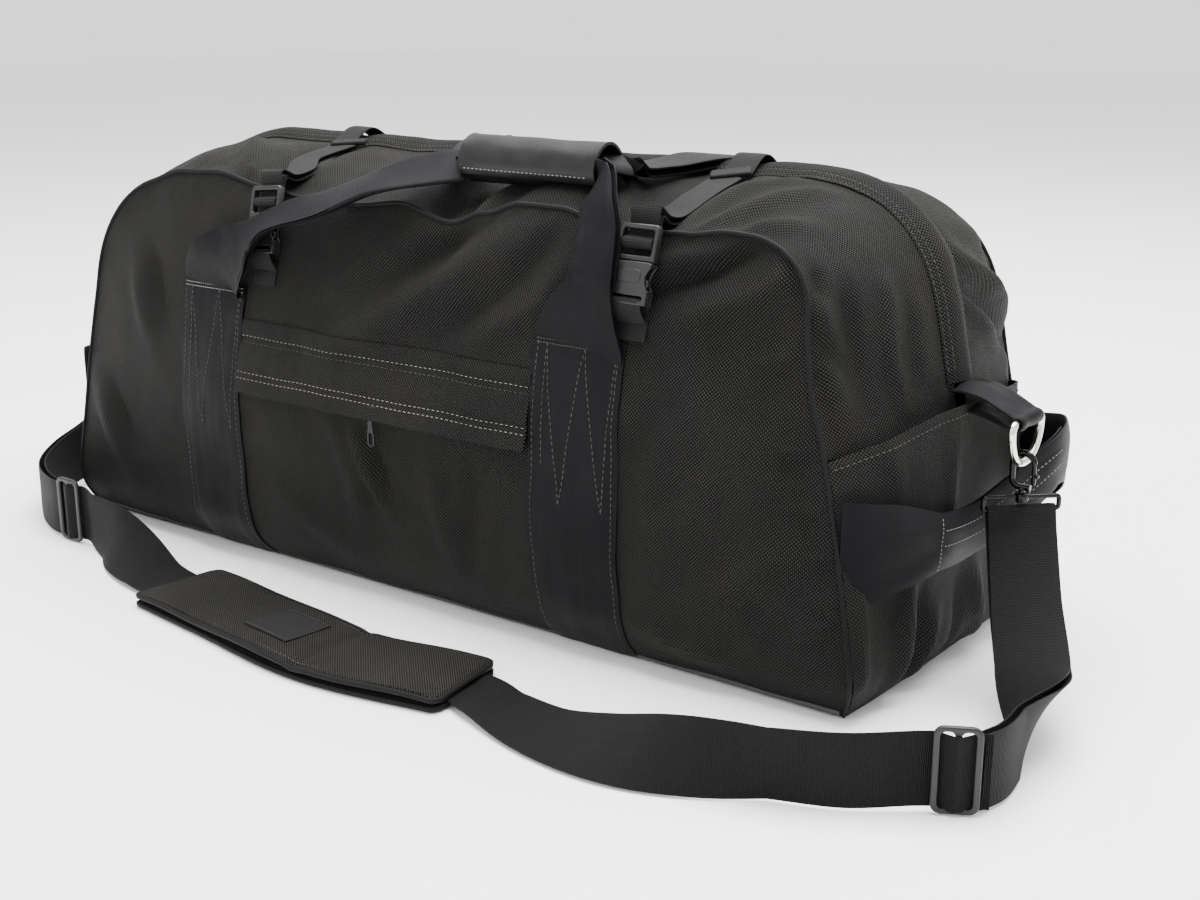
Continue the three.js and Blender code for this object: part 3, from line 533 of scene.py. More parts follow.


# light is the painted highlight on the weave's float tops; dark is the fabric's own tone, which the
# pits take down to painted shade.
NYLON = ballistic_nylon("nylon")
PAD_NYLON = ballistic_nylon("pad_nylon", cell=1.2, light=0.055, dark=0.003)
BINDING = webbing("binding_tape", 0.9, (0.005, 0.005, 0.005), 0.7, 0.01, 0.0002)
SEAT_BELT = webbing("seat_belt_webbing", 0.9, (0.0018, 0.0018, 0.0022), 0.5, 0.003, 0.0002,
                    chevron=0.5, streak=0.45, gloss=0.07)
STRAP_WEB = webbing("shoulder_webbing", 1.35, (0.0046, 0.0049, 0.0047), 0.62, 0.01, 0.0009,
                    chevron=0.12, streak=0.15, fine=0.2, gloss=0.09)
NARROW_WEB = webbing("narrow_webbing", 1.7, (0.0075, 0.0075, 0.0072), 0.75, 0.01, 0.0006,
                     streak=0.15)
ZIP_TAPE = webbing("zip_tape", 0.7, (0.005, 0.005, 0.005), 0.7, 0.01, 0.0002)
PLASTIC = moulded_plastic()
LEATHER = grip_leather()
NICKEL = metal("nickel", (0.78, 0.76, 0.71), 0.16)
BLACK_METAL = metal("black_metal", (0.012, 0.012, 0.013), 0.25, 0.12)
PALE_THREAD = thread("pale_thread", (0.22, 0.212, 0.195))
DARK_THREAD = thread("dark_thread", (0.05, 0.049, 0.046))


# ---------- shape of the bag ----------

def half_depth(z):
    return HALF_DEPTH - DEPTH_LEAN * z


def corner_radius(end, y):
    """Radius of an upper corner. The left corners slump; the right ones stay tighter in front."""
    if end < 0:
        return 116
    return np.interp(y, (-CORNER_Y, CORNER_Y), (56, 82))


def corner_of(radius):
    """The height where an upper corner's arc starts, and the x and z of its centre."""
    corner_z = SEAM_TOP - radius
    start = corner_z + radius * math.sin(LEAN_ANGLE)
    corner_x = HALF_LENGTH - END_LEAN * start - radius * math.cos(LEAN_ANGLE)
    return start, corner_x, corner_z


def half_length(z, radius):
    start, corner_x, corner_z = corner_of(radius)
    if z <= start:
        return HALF_LENGTH - END_LEAN * z
    rise = min(z - corner_z, radius)
    return corner_x + math.sqrt(radius ** 2 - rise ** 2)


def outline(t, from_z, y):
    """Point and outward direction of the bag's outline at depth y: x, z, nx, nz. t runs from the
    right end at height from_z, over the top, to the left end."""
    end = -1 if t > 0.5 else 1
    radius = corner_radius(end, y)
    start, corner_x, corner_z = corner_of(radius)
    straight = (start - from_z) / math.cos(LEAN_ANGLE)
    arc = radius * (math.pi / 2 - LEAN_ANGLE)
    s = (1 - t if t > 0.5 else t) * 2 * (straight + arc + corner_x)
    if s <= straight:
        z = from_z + s * math.cos(LEAN_ANGLE)
        x, nx, nz = HALF_LENGTH - END_LEAN * z, math.cos(LEAN_ANGLE), math.sin(LEAN_ANGLE)
    elif s <= straight + arc:
        angle = LEAN_ANGLE + (s - straight) / radius
        nx, nz = math.cos(angle), math.sin(angle)
        x, z = corner_x + radius * nx, corner_z + radius * nz
    else:
        x, z, nx, nz = corner_x - (s - straight - arc), SEAM_TOP, 0, 1
    return x * end, z, nx * end, nz


# Height of the slack front seam above or below a straight one, at places along the bag.
SEAM_SAG = ((-300, 2), (-254, 9), (-212, 11), (-153, 2), (-110, -4), (-55, -4), (0, 1), (52, -10),
            (86, 0), (120, 9), (158, 9), (194, 1), (214, -3), (268, -1), (300, 3))


def seam_sag(x):
    places, heights = zip(*SEAM_SAG)
    k = int(np.clip(np.searchsorted(places, x) - 1, 0, len(places) - 2))
    share = smooth_step((x - places[k]) / (places[k + 1] - places[k]))
    return heights[k] + (heights[k + 1] - heights[k]) * float(share)


def settle(p, depth_share):
    """Moves a point of the plain shape to where the slack fabric lies: the front seam sags, its
    right end is drawn in below the corner, and everything wanders a little."""
    x, y, z = p
    front = smooth_step(-depth_share * 1.15 - 0.05)
    upper = smooth_step((z - 190) / 120)
    z = z + seam_sag(x) * front * upper
    back = smooth_step(depth_share * 1.15 - 0.05)
    z = z + 3.5 * math.sin(x / 47) * back * upper
    if x > 0:
        x -= 8 * math.exp(-((z - 235) / 52) ** 2) * front * smooth_step((x - 250) / 90)
    wander = noise.noise_vector(Vector((x, y * 1.3, z)) / 130)
    ripple = noise.noise_vector(Vector((x, y, z)) / 38)
    free = smooth_step(z / 40)
    return np.array((x, y, z)) + free * (2.6 * np.array(wander) + 0.7 * np.array(ripple))


def creases_at(a, b, creases):
    """Height of the soft folds at the plane coordinates a, b. A crease is (points, width, height):
    a ridge, or with a negative height a valley, that tapers to both ends."""
    total = np.zeros_like(a)
    for points, width, height in creases:
        points = np.array(points, float)
        lengths = np.linalg.norm(np.diff(points, axis=0), axis=1)
        run = np.concatenate([[0], np.cumsum(lengths)])
        best = np.full(a.shape, 1e9)
        share = np.zeros_like(a)
        for k in range(len(points) - 1):
            p, way = points[k], points[k + 1] - points[k]
            u = ((a - p[0]) * way[0] + (b - p[1]) * way[1]) / lengths[k] ** 2
            u = np.clip(u, 0, 1)
            gap = np.hypot(a - p[0] - u * way[0], b - p[1] - u * way[1])
            nearer = gap < best
            best = np.where(nearer, gap, best)
            share = np.where(nearer, (run[k] + u * lengths[k]) / run[-1], share)
        taper = np.sin(math.pi * (0.06 + 0.88 * share)) ** 0.7
        core = np.exp(-(best / width) ** 2)
        shoulder = np.exp(-(best / (2.3 * width)) ** 2)
        total += 1.4 * height * taper * (1.35 * core - 0.35 * shoulder)
    return total


# Creases of each face, in mm: x and z on the front and back, x and y on the top, y and z on the
# ends and their pockets.
FRONT_CREASES = (
    (((-60, 205), (55, 262), (140, 318)), 17, 6), (((-8, 262), (50, 292), (88, 322)), 13, -6),
    (((83, 222), (152, 262), (176, 300)), 12, 3.5), (((60, 230), (120, 268), (160, 312)), 8, -3),
    (((238, 276), (297, 299), (338, 328)), 6, -5), (((262, 258), (330, 288), (368, 316)), 12, 4.5),
    (((240, 296), (290, 316)), 8, 3), (((352, 312), (366, 288), (368, 258)), 8, -7),
    (((330, 240), (366, 252)), 8, 3), (((-26, 148), (-8, 112), (16, 78)), 7, 4),
    (((-47, 150), (-25, 105), (-22, 70)), 12, 3), (((-10, 150), (14, 100)), 6, -3),
    (((350, 186), (392, 192)), 6, 3.5), (((368, 150), (398, 150)), 6, 2),
    (((376, 112), (404, 126)), 7, 3), (((384, 66), (410, 80)), 7, 3),
    (((-375, 125), (-330, 62)), 18, 5), (((-350, 130), (-318, 80)), 9, -3),
    (((-310, 250), (-283, 182)), 14, 4), (((-290, 262), (-262, 200)), 9, -3),
    (((-140, 296), (-128, 262)), 8, -3.5), (((-65, 243), (-10, 288)), 10, 3),
    (((59, 125), (78, 50)), 12, 3.5), (((104, 140), (96, 60)), 10, -2.5),
    (((266, 215), (240, 160), (232, 90)), 13, -3), (((310, 76), (370, 118)), 14, 3.5),
    (((250, 40), (330, 22)), 12, 3), (((-120, 70), (-40, 40)), 14, 3),
    (((300, 210), (340, 160), (352, 90)), 20, 3),
)
TOP_CREASES = (
    (((236, -150), (234, -60), (232, 60)), 15, -5),
    (((-132, -150), (-160, -60), (-190, 70)), 15, -5),
    (((262, -148), (300, -95), (330, -40)), 10, 5), (((300, -145), (345, -100)), 9, 4),
    (((256, -120), (268, -60), (300, -10)), 9, 3), (((205, -140), (180, -80), (150, -50)), 10, 4),
    (((-160, -150), (-215, -95), (-262, -50)), 11, 5), (((-150, -100), (-205, -50)), 8, -3),
    (((-100, -150), (-60, -95), (-30, -40)), 12, 4), (((40, -150), (30, -90), (0, -40)), 11, -6),
    (((70, -145), (90, -90), (110, -40)), 13, 5), (((-60, 140), (-100, 60)), 14, 4),
    (((100, 140), (60, 50)), 14, -4), (((300, 140), (262, 50)), 12, 4),
    (((-280, 120), (-250, 40)), 12, 4),
)
END_CREASES = (
    (((-128, 312), (-132, 285)), 8, -6), (((-134, 300), (-126, 240), (-122, 200)), 9, 4),
    (((-112, 305), (-104, 240), (-100, 200)), 9, -3), (((-67, 292), (-74, 240), (-66, 205)), 8, 4),
    (((-48, 280), (-52, 220)), 7, -2.5), (((-136, 262), (-118, 238)), 7, -4),
    (((22, 300), (80, 268), (138, 232)), 10, 7), (((22, 282), (78, 248), (130, 212)), 9, -6),
    (((26, 325), (70, 312), (120, 298)), 10, 5), (((30, 262), (84, 226)), 9, 4),
    (((60, 330), (128, 318)), 9, -4),
)
POCKET_CREASES = (
    (((-87, 96), (-96, 50), (-106, 8)), 9, 4.5), (((-70, 80), (-84, 10)), 8, -4),
    (((-34, 185), (-38, 140), (-31, 96)), 8, 3), (((-52, 60), (-74, 6)), 8, 4),
    (((4, 80), (14, 40), (36, 4)), 10, 5), (((-18, 70), (-14, 6)), 9, -4),
    (((-140, 96), (-152, 22)), 8, 3.5), (((60, 170), (66, 90), (58, 20)), 12, 4),
    (((100, 150), (112, 40)), 12, -4), (((-100, 186), (-96, 150)), 8, 2.5),
)
BACK_CREASES = (
    (((-300, 260), (-180, 180), (-120, 80)), 18, 5), (((-250, 270), (-150, 210)), 12, -4),
    (((260, 280), (330, 180)), 16, 5), (((60, 290), (0, 200), (20, 110)), 18, 5),
    (((100, 270), (60, 190)), 12, -4), (((-30, 120), (-90, 50)), 14, 4),
    (((240, 120), (320, 60)), 14, 4), (((-380, 150), (-330, 90)), 14, 4),
)


def rumple(points, scale, amount):
    """Small soft unevenness for a grid of points, as heights."""
    flat = points.reshape(-1, 3) / scale
    return amount * np.array([noise.noise(Vector(p)) for p in flat]).reshape(points.shape[:2])


def pucker(along, from_seam, seed):
    """Ripples that a row of stitches draws into the fabric, as heights."""
    phase = np.array([noise.noise(Vector((s / 55, seed, 0))) for s in along.ravel()])
    phase = phase.reshape(along.shape)
    wave = np.sin(along / 3.1 + 9 * phase) * (0.6 + 0.8 * phase)
    return 0.75 * wave * np.exp(-from_seam / 13) * smooth_step(from_seam / 3)


def shell_panel(side, columns=170, rows=64):
    """Outer face of the front (side -1) or back panel: points, outward, flat fabric place."""
    swell = FRONT_SWELL if side < 0 else BACK_SWELL
    points = np.zeros((columns + 1, rows + 1, 3))
    edge = np.zeros((columns + 1, rows + 1))
    for j in range(rows + 1):
        z = SEAM_TOP * (1 - (1 - j / rows) ** 1.25)
        for i in range(columns + 1):
            u = 2 * i / columns - 1
            reach = half_length(z, corner_radius(1 if u > 0 else -1, side * CORNER_Y))
            x = u * reach
            lift = math.sin(math.pi * z / SEAM_TOP) ** 0.8 if 0 < z < SEAM_TOP else 0
            y = half_depth(z) + swell * (1 - u ** 4) * lift
            y -= tuck(z, TUCK_Y)
            x -= math.copysign(tuck(z, TUCK_X), u) * abs(u) ** 5
            points[i, j] = settle((x, side * y, z), side)
            edge[i, j] = min(reach - abs(x), SEAM_TOP - z)
    outward = np.array((0, side, 0.0))
    cloth = points[..., [0, 2, 1]].copy()
    creases = FRONT_CREASES if side < 0 else BACK_CREASES
    # Creases and unevenness fade out at the seams, and round the front pocket's zip.
    calm = 1 - 0.85 * np.exp(-((points[..., 2] - 165) / 15) ** 2) * (side < 0)
    held = smooth_step(edge / 14) * np.where(np.abs(points[..., 0]) < 160, calm, 1)
    height = creases_at(points[..., 0], points[..., 2], creases) * held
    height += (rumple(points, 62, 2.4) + rumple(points, 24, 0.9)) * held
    height += pucker(points[..., 0] - points[..., 2], edge, 3 + side)
    height *= smooth_step(points[..., 2] / 12)
    points += grid_normals(points, outward) * height[..., None]
    return points, outward, cloth


def over_the_top(points):
    """The fabric places of a grid that runs lengthways over the bag: along it and across it."""
    steps = np.linalg.norm(np.diff(points, axis=0), axis=2).mean(1)
    cloth = np.zeros_like(points)
    cloth[..., 0] = np.concatenate([[0], np.cumsum(steps)])[:, None]
    cloth[..., 1] = points[..., 1]
    return cloth


def shell_gusset(side, columns=300, rows=34):
    """Outer face of one half of the top and upper ends."""
    points = np.zeros((columns + 1, rows + 1, 3))
    outward = np.zeros_like(points)
    edge = np.zeros((columns + 1, rows + 1))
    for j in range(rows + 1):
        share = 1 - (j / rows) ** 1.15
        for i in range(columns + 1):
            x, z, nx, nz = outline(i / columns, POCKET_SEAM, side * CORNER_Y * share)
            reach = half_depth(z)
            y = ZIP_GAP + (reach - 1.5 - ZIP_GAP) * share
            w = y / reach
            rise = CROWN * (1 - w ** 2.2)
            points[i, j] = settle((x + nx * rise, side * y, z + nz * rise), side * w)
            outward[i, j] = (nx, 0, nz)
            edge[i, j] = reach - y
    cloth = over_the_top(points)
    # The top has its own creases, which give way to those of the ends round the corners.
    top_part = smooth_step((outward[..., 2] - 0.35) * 2.2)
    held = smooth_step(edge / 14) * smooth_step((np.abs(points[..., 1]) - 12) / 16)
    right = points[..., 0] > 0
    height = creases_at(points[..., 0], points[..., 1], TOP_CREASES) * top_part
    ends = creases_at(points[..., 1], points[..., 2], END_CREASES) * (1 - top_part)
    height += ends * np.where(right, 1.0, 0.6)
    # The broad unevenness of the left half mirrors that of the right one.
    mirrored = points.copy()
    mirrored[..., 0] = np.abs(points[..., 0])
    height += rumple(mirrored, 58, 3.2)
    height += rumple(points, 23, 1.0)
    height = height * held + pucker(cloth[..., 0], edge, 7 + side)
    points += grid_normals(points, outward) * height[..., None]
    return points, outward, cloth


def shell_end(end, columns=70, rows=50):
    """Outer face of the pocket over one lower end."""
    low_z, face_x = 1.5, 427.5
    points = np.zeros((columns + 1, rows + 1, 3))
    edge = np.zeros((columns + 1, rows + 1))
    for i in range(columns + 1):
        w = 2 * i / columns - 1
        for j in range(rows + 1):
            z = low_z + j / rows * (POCKET_SEAM - low_z + 20 * (1 - w * w))
            y = w * (half_depth(z) - 1.5 - tuck(z, TUCK_Y))
            rise = min(CROWN * (max(z, 0) / POCKET_SEAM) ** 0.9, CROWN)
            reach = HALF_LENGTH - END_LEAN * z
            behind = reach + rise * (1 - abs(w) ** 2.2)
            stand = (face_x - reach - rise) * (1 - w ** 4) + 2.5 * w ** 4
            x = behind + stand + 3 * math.sin(math.pi * z / 200) * (1 - w * w)
            x -= tuck(z, TUCK_X)
            points[i, j] = settle((end * x, y, z), w)
            edge[i, j] = half_depth(z) - abs(y)
    outward = np.array((float(end), 0, 0))
    cloth = points[..., [1, 2, 0]].copy()
    held = smooth_step(edge / 16) * smooth_step(points[..., 2] / 16)
    height = creases_at(points[..., 1], points[..., 2], POCKET_CREASES)
    height += rumple(points * (end, 1, 1), 48, 2.6) + rumple(points, 20, 0.8)
    # The pocket stays flatter behind the narrow middle of the grab handle.
    near_handle = np.exp(-(points[..., 1] / 80) ** 2) * np.exp(-((points[..., 2] - 112) / 34) ** 2)
    height = height * held * (1 - 0.65 * near_handle)
    height += pucker(points[..., 2], edge, 11 + end)
    points += grid_normals(points, outward) * height[..., None]
    return points, outward, cloth


class Shell:
    """The outer faces of the bag, for laying trim on them."""

    def __init__(self):
        self.faces = {}
        self.trees = {}

    def add(self, name, points):
        rows, columns = points.shape[:2]
        self.faces[name] = points
        self.trees[name] = BVHTree.FromPolygons(
            [tuple(p) for p in points.reshape(-1, 3)], grid_faces(rows, columns))

    def onto(self, names, origin, direction, lift=0.0):
        """Where a ray from origin meets one of the faces, raised by lift, and the normal there."""
        best = None
        way = Vector(direction).normalized()
        for name in names:
            spot, normal, _, distance = self.trees[name].ray_cast(Vector(origin), way)
            if spot is not None and (best is None or distance < best[2]):
                if normal.dot(way) > 0:
                    normal = -normal
                best = (spot, normal, distance)
        if best is None:
            spot, normal, _, _ = self.trees[names[0]].find_nearest(Vector(origin))
            best = (spot, -way, 0)
        return np.array(best[0] + best[1] * lift), np.array(best[1])


shell = Shell()


def on_panel(side, x, z, lift):
    """A point on the front (side -1) or back panel, raised by lift."""
    surface = "front" if side < 0 else "back"
    return shell.onto([surface], (x, side * 400, z), (0, -side, 0), lift)[0]


def top_height(x, y, lift):
    return shell.onto(["top_front", "top_rear"], (x, y, 600), (0, 0, -1), 0)[0][2] + lift


def build_shell():
    """The front and back panels, the two halves of the top, and the pockets on the ends."""
    for side, word in PANELS:
        points, outward, cloth = shell_panel(side)
        shell.add(word, points)
        piece = sheet(f"{word}_panel_cloth", points, outward, NYLON, cloth)
        place(piece, "bag", "nylon", f"{word}_panel")
    for side, word in SIDES:
        points, outward, cloth = shell_gusset(side)
        shell.add(f"top_{word}", points)
        piece = sheet(f"top_{word}_cloth", points, outward, NYLON, cloth)
        place(piece, "bag", "nylon", f"top_gusset_{word}")
    for end, word in ENDS:
        points, outward, cloth = shell_end(end)
        shell.add(f"end_{word}", points)
        piece = sheet(f"end_pocket_{word}_cloth", points, outward, NYLON, cloth, 1.6)
        place(piece, "bag", "nylon", f"end_pocket_{word}")


build_shell()


# ---------- stitches ----------

class Stitches:
    """Rows of raised stitches, gathered into one piece."""

    SIDES = 5

    def __init__(self, name, material, body="bag"):
        self.name, self.material, self.body = name, material, body
        self.points, self.faces = [], []

    def row(self, path, normals, length=3.3, space=1.5, radius=0.36):
        """Stitches along a path of points, lying on a surface with the given normals."""
        path, normals = np.asarray(path, float), np.asarray(normals, float)
        run = run_along(path)
        pitch = length + space
        for k in range(int(run[-1] / pitch)):
            places = k * pitch + np.array((0, length / 2, length))
            spots = np.stack([np.interp(places, run, path[:, c]) for c in range(3)], 1)
            normal = np.array([np.interp(places[1], run, normals[:, c]) for c in range(3)])
            normal = normalize(normal)
            self.stitch(spots, normal, radius)

    def stitch(self, spots, normal, radius):
        """One stitch through three spots: its ends dip into the fabric and its middle stands up."""
        spots = spots + normal * np.array([[-0.25], [0.28], [-0.25]])
        way = normalize(spots[2] - spots[0])
        side = np.cross(way, normal)
        self.faces += rod_faces(len(spots), self.SIDES, start=len(self.points))
        for spot, size in zip(spots, (0.6, 1.0, 0.6)):
            self.points += rod_ring(spot, radius * size, side, normal, self.SIDES)

    def finish(self, slot="nylon"):
        points = np.array(self.points)
        piece = make_object(self.name, points, orient(points, self.faces), self.material, None, 0)
        return place(piece, self.body, slot)


def densify(corners, step=3.0):
    """Points every few mm along straight runs between corners."""
    corners = np.asarray(corners, float)
    made = [corners[0]]
    for a, b in zip(corners[:-1], corners[1:]):
        count = max(int(np.linalg.norm(b - a) / step), 1)
        made += [a + (b - a) * k / count for k in range(1, count + 1)]
    return np.array(made)


def resample(grid, u, v):
    """Point and normal of a grid surface at shares u and v from 0 to 1."""
    points, normals = grid
    a = np.clip(u, 0, 1) * (points.shape[0] - 1)
    b = np.clip(v, 0, 1) * (points.shape[1] - 1)
    i, j = int(min(a, points.shape[0] - 2)), int(min(b, points.shape[1] - 2))
    fa, fb = a - i, b - j
    blend = []
    for source in (points, normals):
        blend.append((source[i, j] * (1 - fa) + source[i + 1, j] * fa) * (1 - fb)
                     + (source[i, j + 1] * (1 - fa) + source[i + 1, j + 1] * fa) * fb)
    return blend


def row_on(stitches, grid, corners, **how):
    """A row of stitches through corners given as (u, v) shares of a grid."""
    spots = [resample(grid, u, v) for u, v in corners]
    stitches.row([s[0] for s in spots], [s[1] for s in spots], **how)


pale = Stitches("pocket_and_patch_stitches", PALE_THREAD)
dark = Stitches("seam_stitches", DARK_THREAD)


# ---------- seams, flap and zip along the top ----------

def build_piping():
    """The thin corded seam round the front and back panels."""
    for side, word in PANELS:
        path = []
        for t in np.linspace(0, 1, 340):
            x, z, nx, nz = outline(t, 1.5, side * CORNER_Y)
            y = side * (half_depth(z) - 0.4 - tuck(z, TUCK_Y))
            spot = settle((x - math.copysign(tuck(z, TUCK_X), x), y, z), side)
            path.append(spot + 0.9 * np.array((nx, 0, nz)) + (0, side * 0.4, 0))
        piece = tube(f"piping_{word}_cord", path, 1.7, BINDING, 8, normal=(0, 1, 0))
        place(piece, "bag", "nylon", f"piping_{word}")


FLAP_HALF = 19.0                              # half the storm flap's width
FLAP_END = 208.0                              # height at which it ends, on both ends of the bag


def flap_station(t):
    """Where the flap's two edges lie on the top at t, and the outward direction."""
    x, z, nx, nz = outline(t, FLAP_END, 0)
    middle = settle((x + nx * CROWN, 0, z + nz * CROWN), 0)
    out = np.array((nx, 0, nz))
    edges = []
    for side, word in SIDES:
        start = middle + out * 50 + (0, side * FLAP_HALF, 0)
        edges.append(shell.onto([f"top_{word}"], start, -out, 0.9)[0])
    return edges[0], edges[1], out


def build_flap():
    """The arched strip over the main zip, with two stitched rows along each edge."""
    count, across = 260, 16
    points = np.zeros((count + 1, across + 1, 3))
    outward = np.zeros_like(points)
    for i in range(count + 1):
        near, far, out = flap_station(i / count)
        for j in range(across + 1):
            w = 2 * j / across - 1
            row_dip = 0.8 * (math.exp(-((abs(w) - 0.9) / 0.06) ** 2)
                             + math.exp(-((abs(w) - 0.66) / 0.06) ** 2))
            arch = 8.2 * (1 - abs(w) ** 1.7) - row_dip
            arch += 0.8 * noise.noise(Vector((i * 0.06, w * 1.2, 5)))
            points[i, j] = near + (far - near) * (w + 1) / 2 + out * arch
            outward[i, j] = out
    piece = sheet("storm_flap_cloth", points, outward, NYLON, over_the_top(points), 1.4)
    place(piece, "bag", "nylon", "storm_flap")
    grid = (points, grid_normals(points, outward))
    for v in (0.05, 0.17, 0.83, 0.95):
        row_on(dark, grid, [(u, v) for u in np.linspace(0.01, 0.99, 500)], radius=0.4)


def build_main_zip():
    """A flat tape with a ridged coil along its middle."""
    count, teeth, spacing = 300, 1500, 3.3
    path, rims = [], []
    for t in np.linspace(0, 1, count):
        x, z, nx, nz = outline(t, FLAP_END, 0)
        path.append(settle((x + nx * (CROWN - 0.5), 0, z + nz * (CROWN - 0.5)), 0))
        rims.append((nx, 0, nz))
    path, rims = np.array(path), np.array(rims)
    points = np.stack([path + (0, y, 0) for y in (-10, -5, 0, 5, 10)], 1)
    outward = np.repeat(rims[:, None], 5, axis=1)
    along = np.repeat(np.arange(count)[:, None] * spacing, 5, 1)
    cloth = np.stack([points[..., 1], along, np.zeros_like(along)], -1)
    tape = sheet("main_zip_tape", points, outward, ZIP_TAPE, cloth, 0.8)
    place(tape, "bag", "coarse_webbing", "main_zip")
    index = np.linspace(0, count - 1, teeth)
    line, lift = (np.stack([np.interp(index, np.arange(count), way[:, k]) for k in range(3)], 1)
                  for way in (path, rims))
    radius = 1.5 + 0.35 * np.sin(np.linspace(0, 1, teeth) * teeth * 2.1)
    coil = tube("main_zip_teeth", line + lift * 0.4, radius, PLASTIC, 6, normal=(0, 1, 0))
    place(coil, "bag", "black_plastic")


# ---------- front pocket ----------

POCKET_HALF = high("pocket_flap", 0) + 6
POCKET_TOP = high("pocket_flap", 2)
POCKET_LOW = low("pocket_flap", 2)
POCKET_ZIP = mid("pocket_zip", 2)


def build_pocket():
    """The stitched band over the pocket's zip, standing off at its lower edge, and the zip."""
    columns, rows = 130, 26
    points = np.zeros((columns + 1, rows + 1, 3))
    rows_at = (203, 198, 173.5, 168.5)
    low_z, span = POCKET_LOW + 0.5, POCKET_TOP + 1 - POCKET_LOW
    for i in range(columns + 1):
        x = POCKET_HALF * (2 * i / columns - 1)
        wave = noise.noise(Vector((x / 45, 2, 0)))
        for j in range(rows + 1):
            v = j / rows
            z = low_z + span * v + 1.6 * wave * (1 - v)
            lift = 0.9 + 6.6 * (1 - v) ** 2.2 + 0.8 * wave * (1 - v)
            lift += 1.5 * math.sin(math.pi * np.clip((z - 173) / 25, 0, 1))
            lift += 1.0 * math.sin(math.pi * np.clip((z - 203) / 13, 0, 1))
            lift -= sum(0.45 * math.exp(-((z - r) / 1.3) ** 2) for r in rows_at)
            lift += 0.5 * noise.noise(Vector((x / 14, z / 20, 9)))
            points[i, j] = on_panel(-1, x, z, 0) + (0, -lift, 0)
    outward = np.array((0, -1.0, 0))
    piece = sheet("pocket_flap_cloth", points, outward, NYLON, points[..., [0, 2, 1]].copy(), 1.7)
    place(piece, "bag", "nylon", "pocket_flap")
    grid = (points, grid_normals(points, outward))
    for z, kind in zip(rows_at, (pale, dark, pale, pale)):
        v = (z - low_z) / span
        row_on(kind, grid, [(u, v) for u in np.linspace(0.0, 1.0, 160)], radius=0.34)
    tape = np.zeros((60, 7, 3))
    for i in range(60):
        for j in range(7):
            x, z = -150 + 300 * i / 59, POCKET_ZIP - 9 + 3 * j
            tape[i, j] = on_panel(-1, x, z, 0) + (0, -0.7, 0)
    place(sheet("pocket_zip_tape", tape, outward, ZIP_TAPE, tape[..., [2, 0, 1]].copy(), 0.6),
          "bag", "coarse_webbing", "pocket_zip")
    path = [on_panel(-1, x, POCKET_ZIP, 0) + (0, -0.9, 0) for x in np.linspace(-144, 144, 520)]
    radius = 1.05 + 0.3 * np.sin(np.arange(520) * 2.1)
    place(tube("pocket_zip_teeth", path, radius, PLASTIC, 6, normal=(0, 1, 0)),
          "bag", "black_plastic")


# ---------- handle patches ----------

PATCH_TOP = high("handle_patch_front_right", 2)
PATCH_X = mid("handle_patch_front_right", 0)
PATCH_WIDE = high("handle_patch_front_right", 0) - low("handle_patch_front_right", 0)
ZIGZAG = 118                                  # height of its stitched zigzag


def build_patches():
    """Wide webbing over the panels, with a stitched zigzag in each patch's upper part."""
    columns, rows = 26, 84
    for side, face in SIDES:
        for end, word in ENDS:
            points = np.zeros((columns + 1, rows + 1, 3))
            for i in range(columns + 1):
                a = 2 * i / columns - 1
                for j in range(rows + 1):
                    v = j / rows
                    z = 1.5 + (PATCH_TOP - 1.5) * v
                    sway = 2.2 * noise.noise(Vector((z / 90, end * 3.0, side)))
                    x = PATCH_X * end + a * PATCH_WIDE / 2 + sway
                    lift = 2.0 - 0.9 * abs(a) ** 6
                    lift += 0.9 * noise.noise(Vector((a * 1.4, z / 26, end + 4 * side)))
                    lift += 0.7 * noise.noise(Vector((a * 4, z / 60, end + 7)))
                    points[i, j] = on_panel(side, x, z, 0) + (0, side * lift, 0)
            # The webbing is stiffer than the panel, so it bridges the panel's small dips.
            for _ in range(3):
                points[:, 1:-1, 1] = (points[:, :-2, 1] + 2 * points[:, 1:-1, 1]
                                      + points[:, 2:, 1]) / 4
            points[..., 1] += side * 0.5
            outward = np.array((0, float(side), 0))
            name = f"handle_patch_{face}_{word}"
            cloth = points[..., [0, 2, 1]].copy()
            piece = sheet(name + "_webbing", points, outward, SEAT_BELT, cloth, 1.7)
            place(piece, "bag", "seat_belt_webbing", name)
            grid = (points, grid_normals(points, outward))
            for u in (0.055, 0.945):
                row_on(dark, grid, [(u, v) for v in np.linspace(0.04, 0.985, 120)], radius=0.42)
            top = 0.975
            foot = top - ZIGZAG / PATCH_TOP
            zigzag = ((0.16, top), (0.38, foot), (0.6, top), (0.86, foot), (0.93, top))
            row_on(dark, grid, densify(zigzag, 0.012), radius=0.42)
            row_on(dark, grid, [(0.16, v) for v in np.linspace(top, 0.6, 60)], radius=0.42)
            for v in (0.972, 0.984):
                kind = pale if face == "front" and word == "left" else dark
                row_on(kind, grid, [(u, v) for u in np.linspace(0.03, 0.97, 50)],
                       length=2.2, space=0.6, radius=0.5)


def build_end_stitches():
    """One row below the top edge of each end pocket."""
    for end, word in ENDS:
        points = shell.faces[f"end_{word}"]
        outward = np.array((float(end), 0, 0))
        grid = (points, grid_normals(points, outward))
        row_on(dark, grid, [(u, 0.965) for u in np.linspace(0.01, 0.99, 200)], radius=0.42)


build_piping()
build_flap()
build_main_zip()
build_pocket()
build_patches()
build_end_stitches()


# ---------- base and lower ends ----------

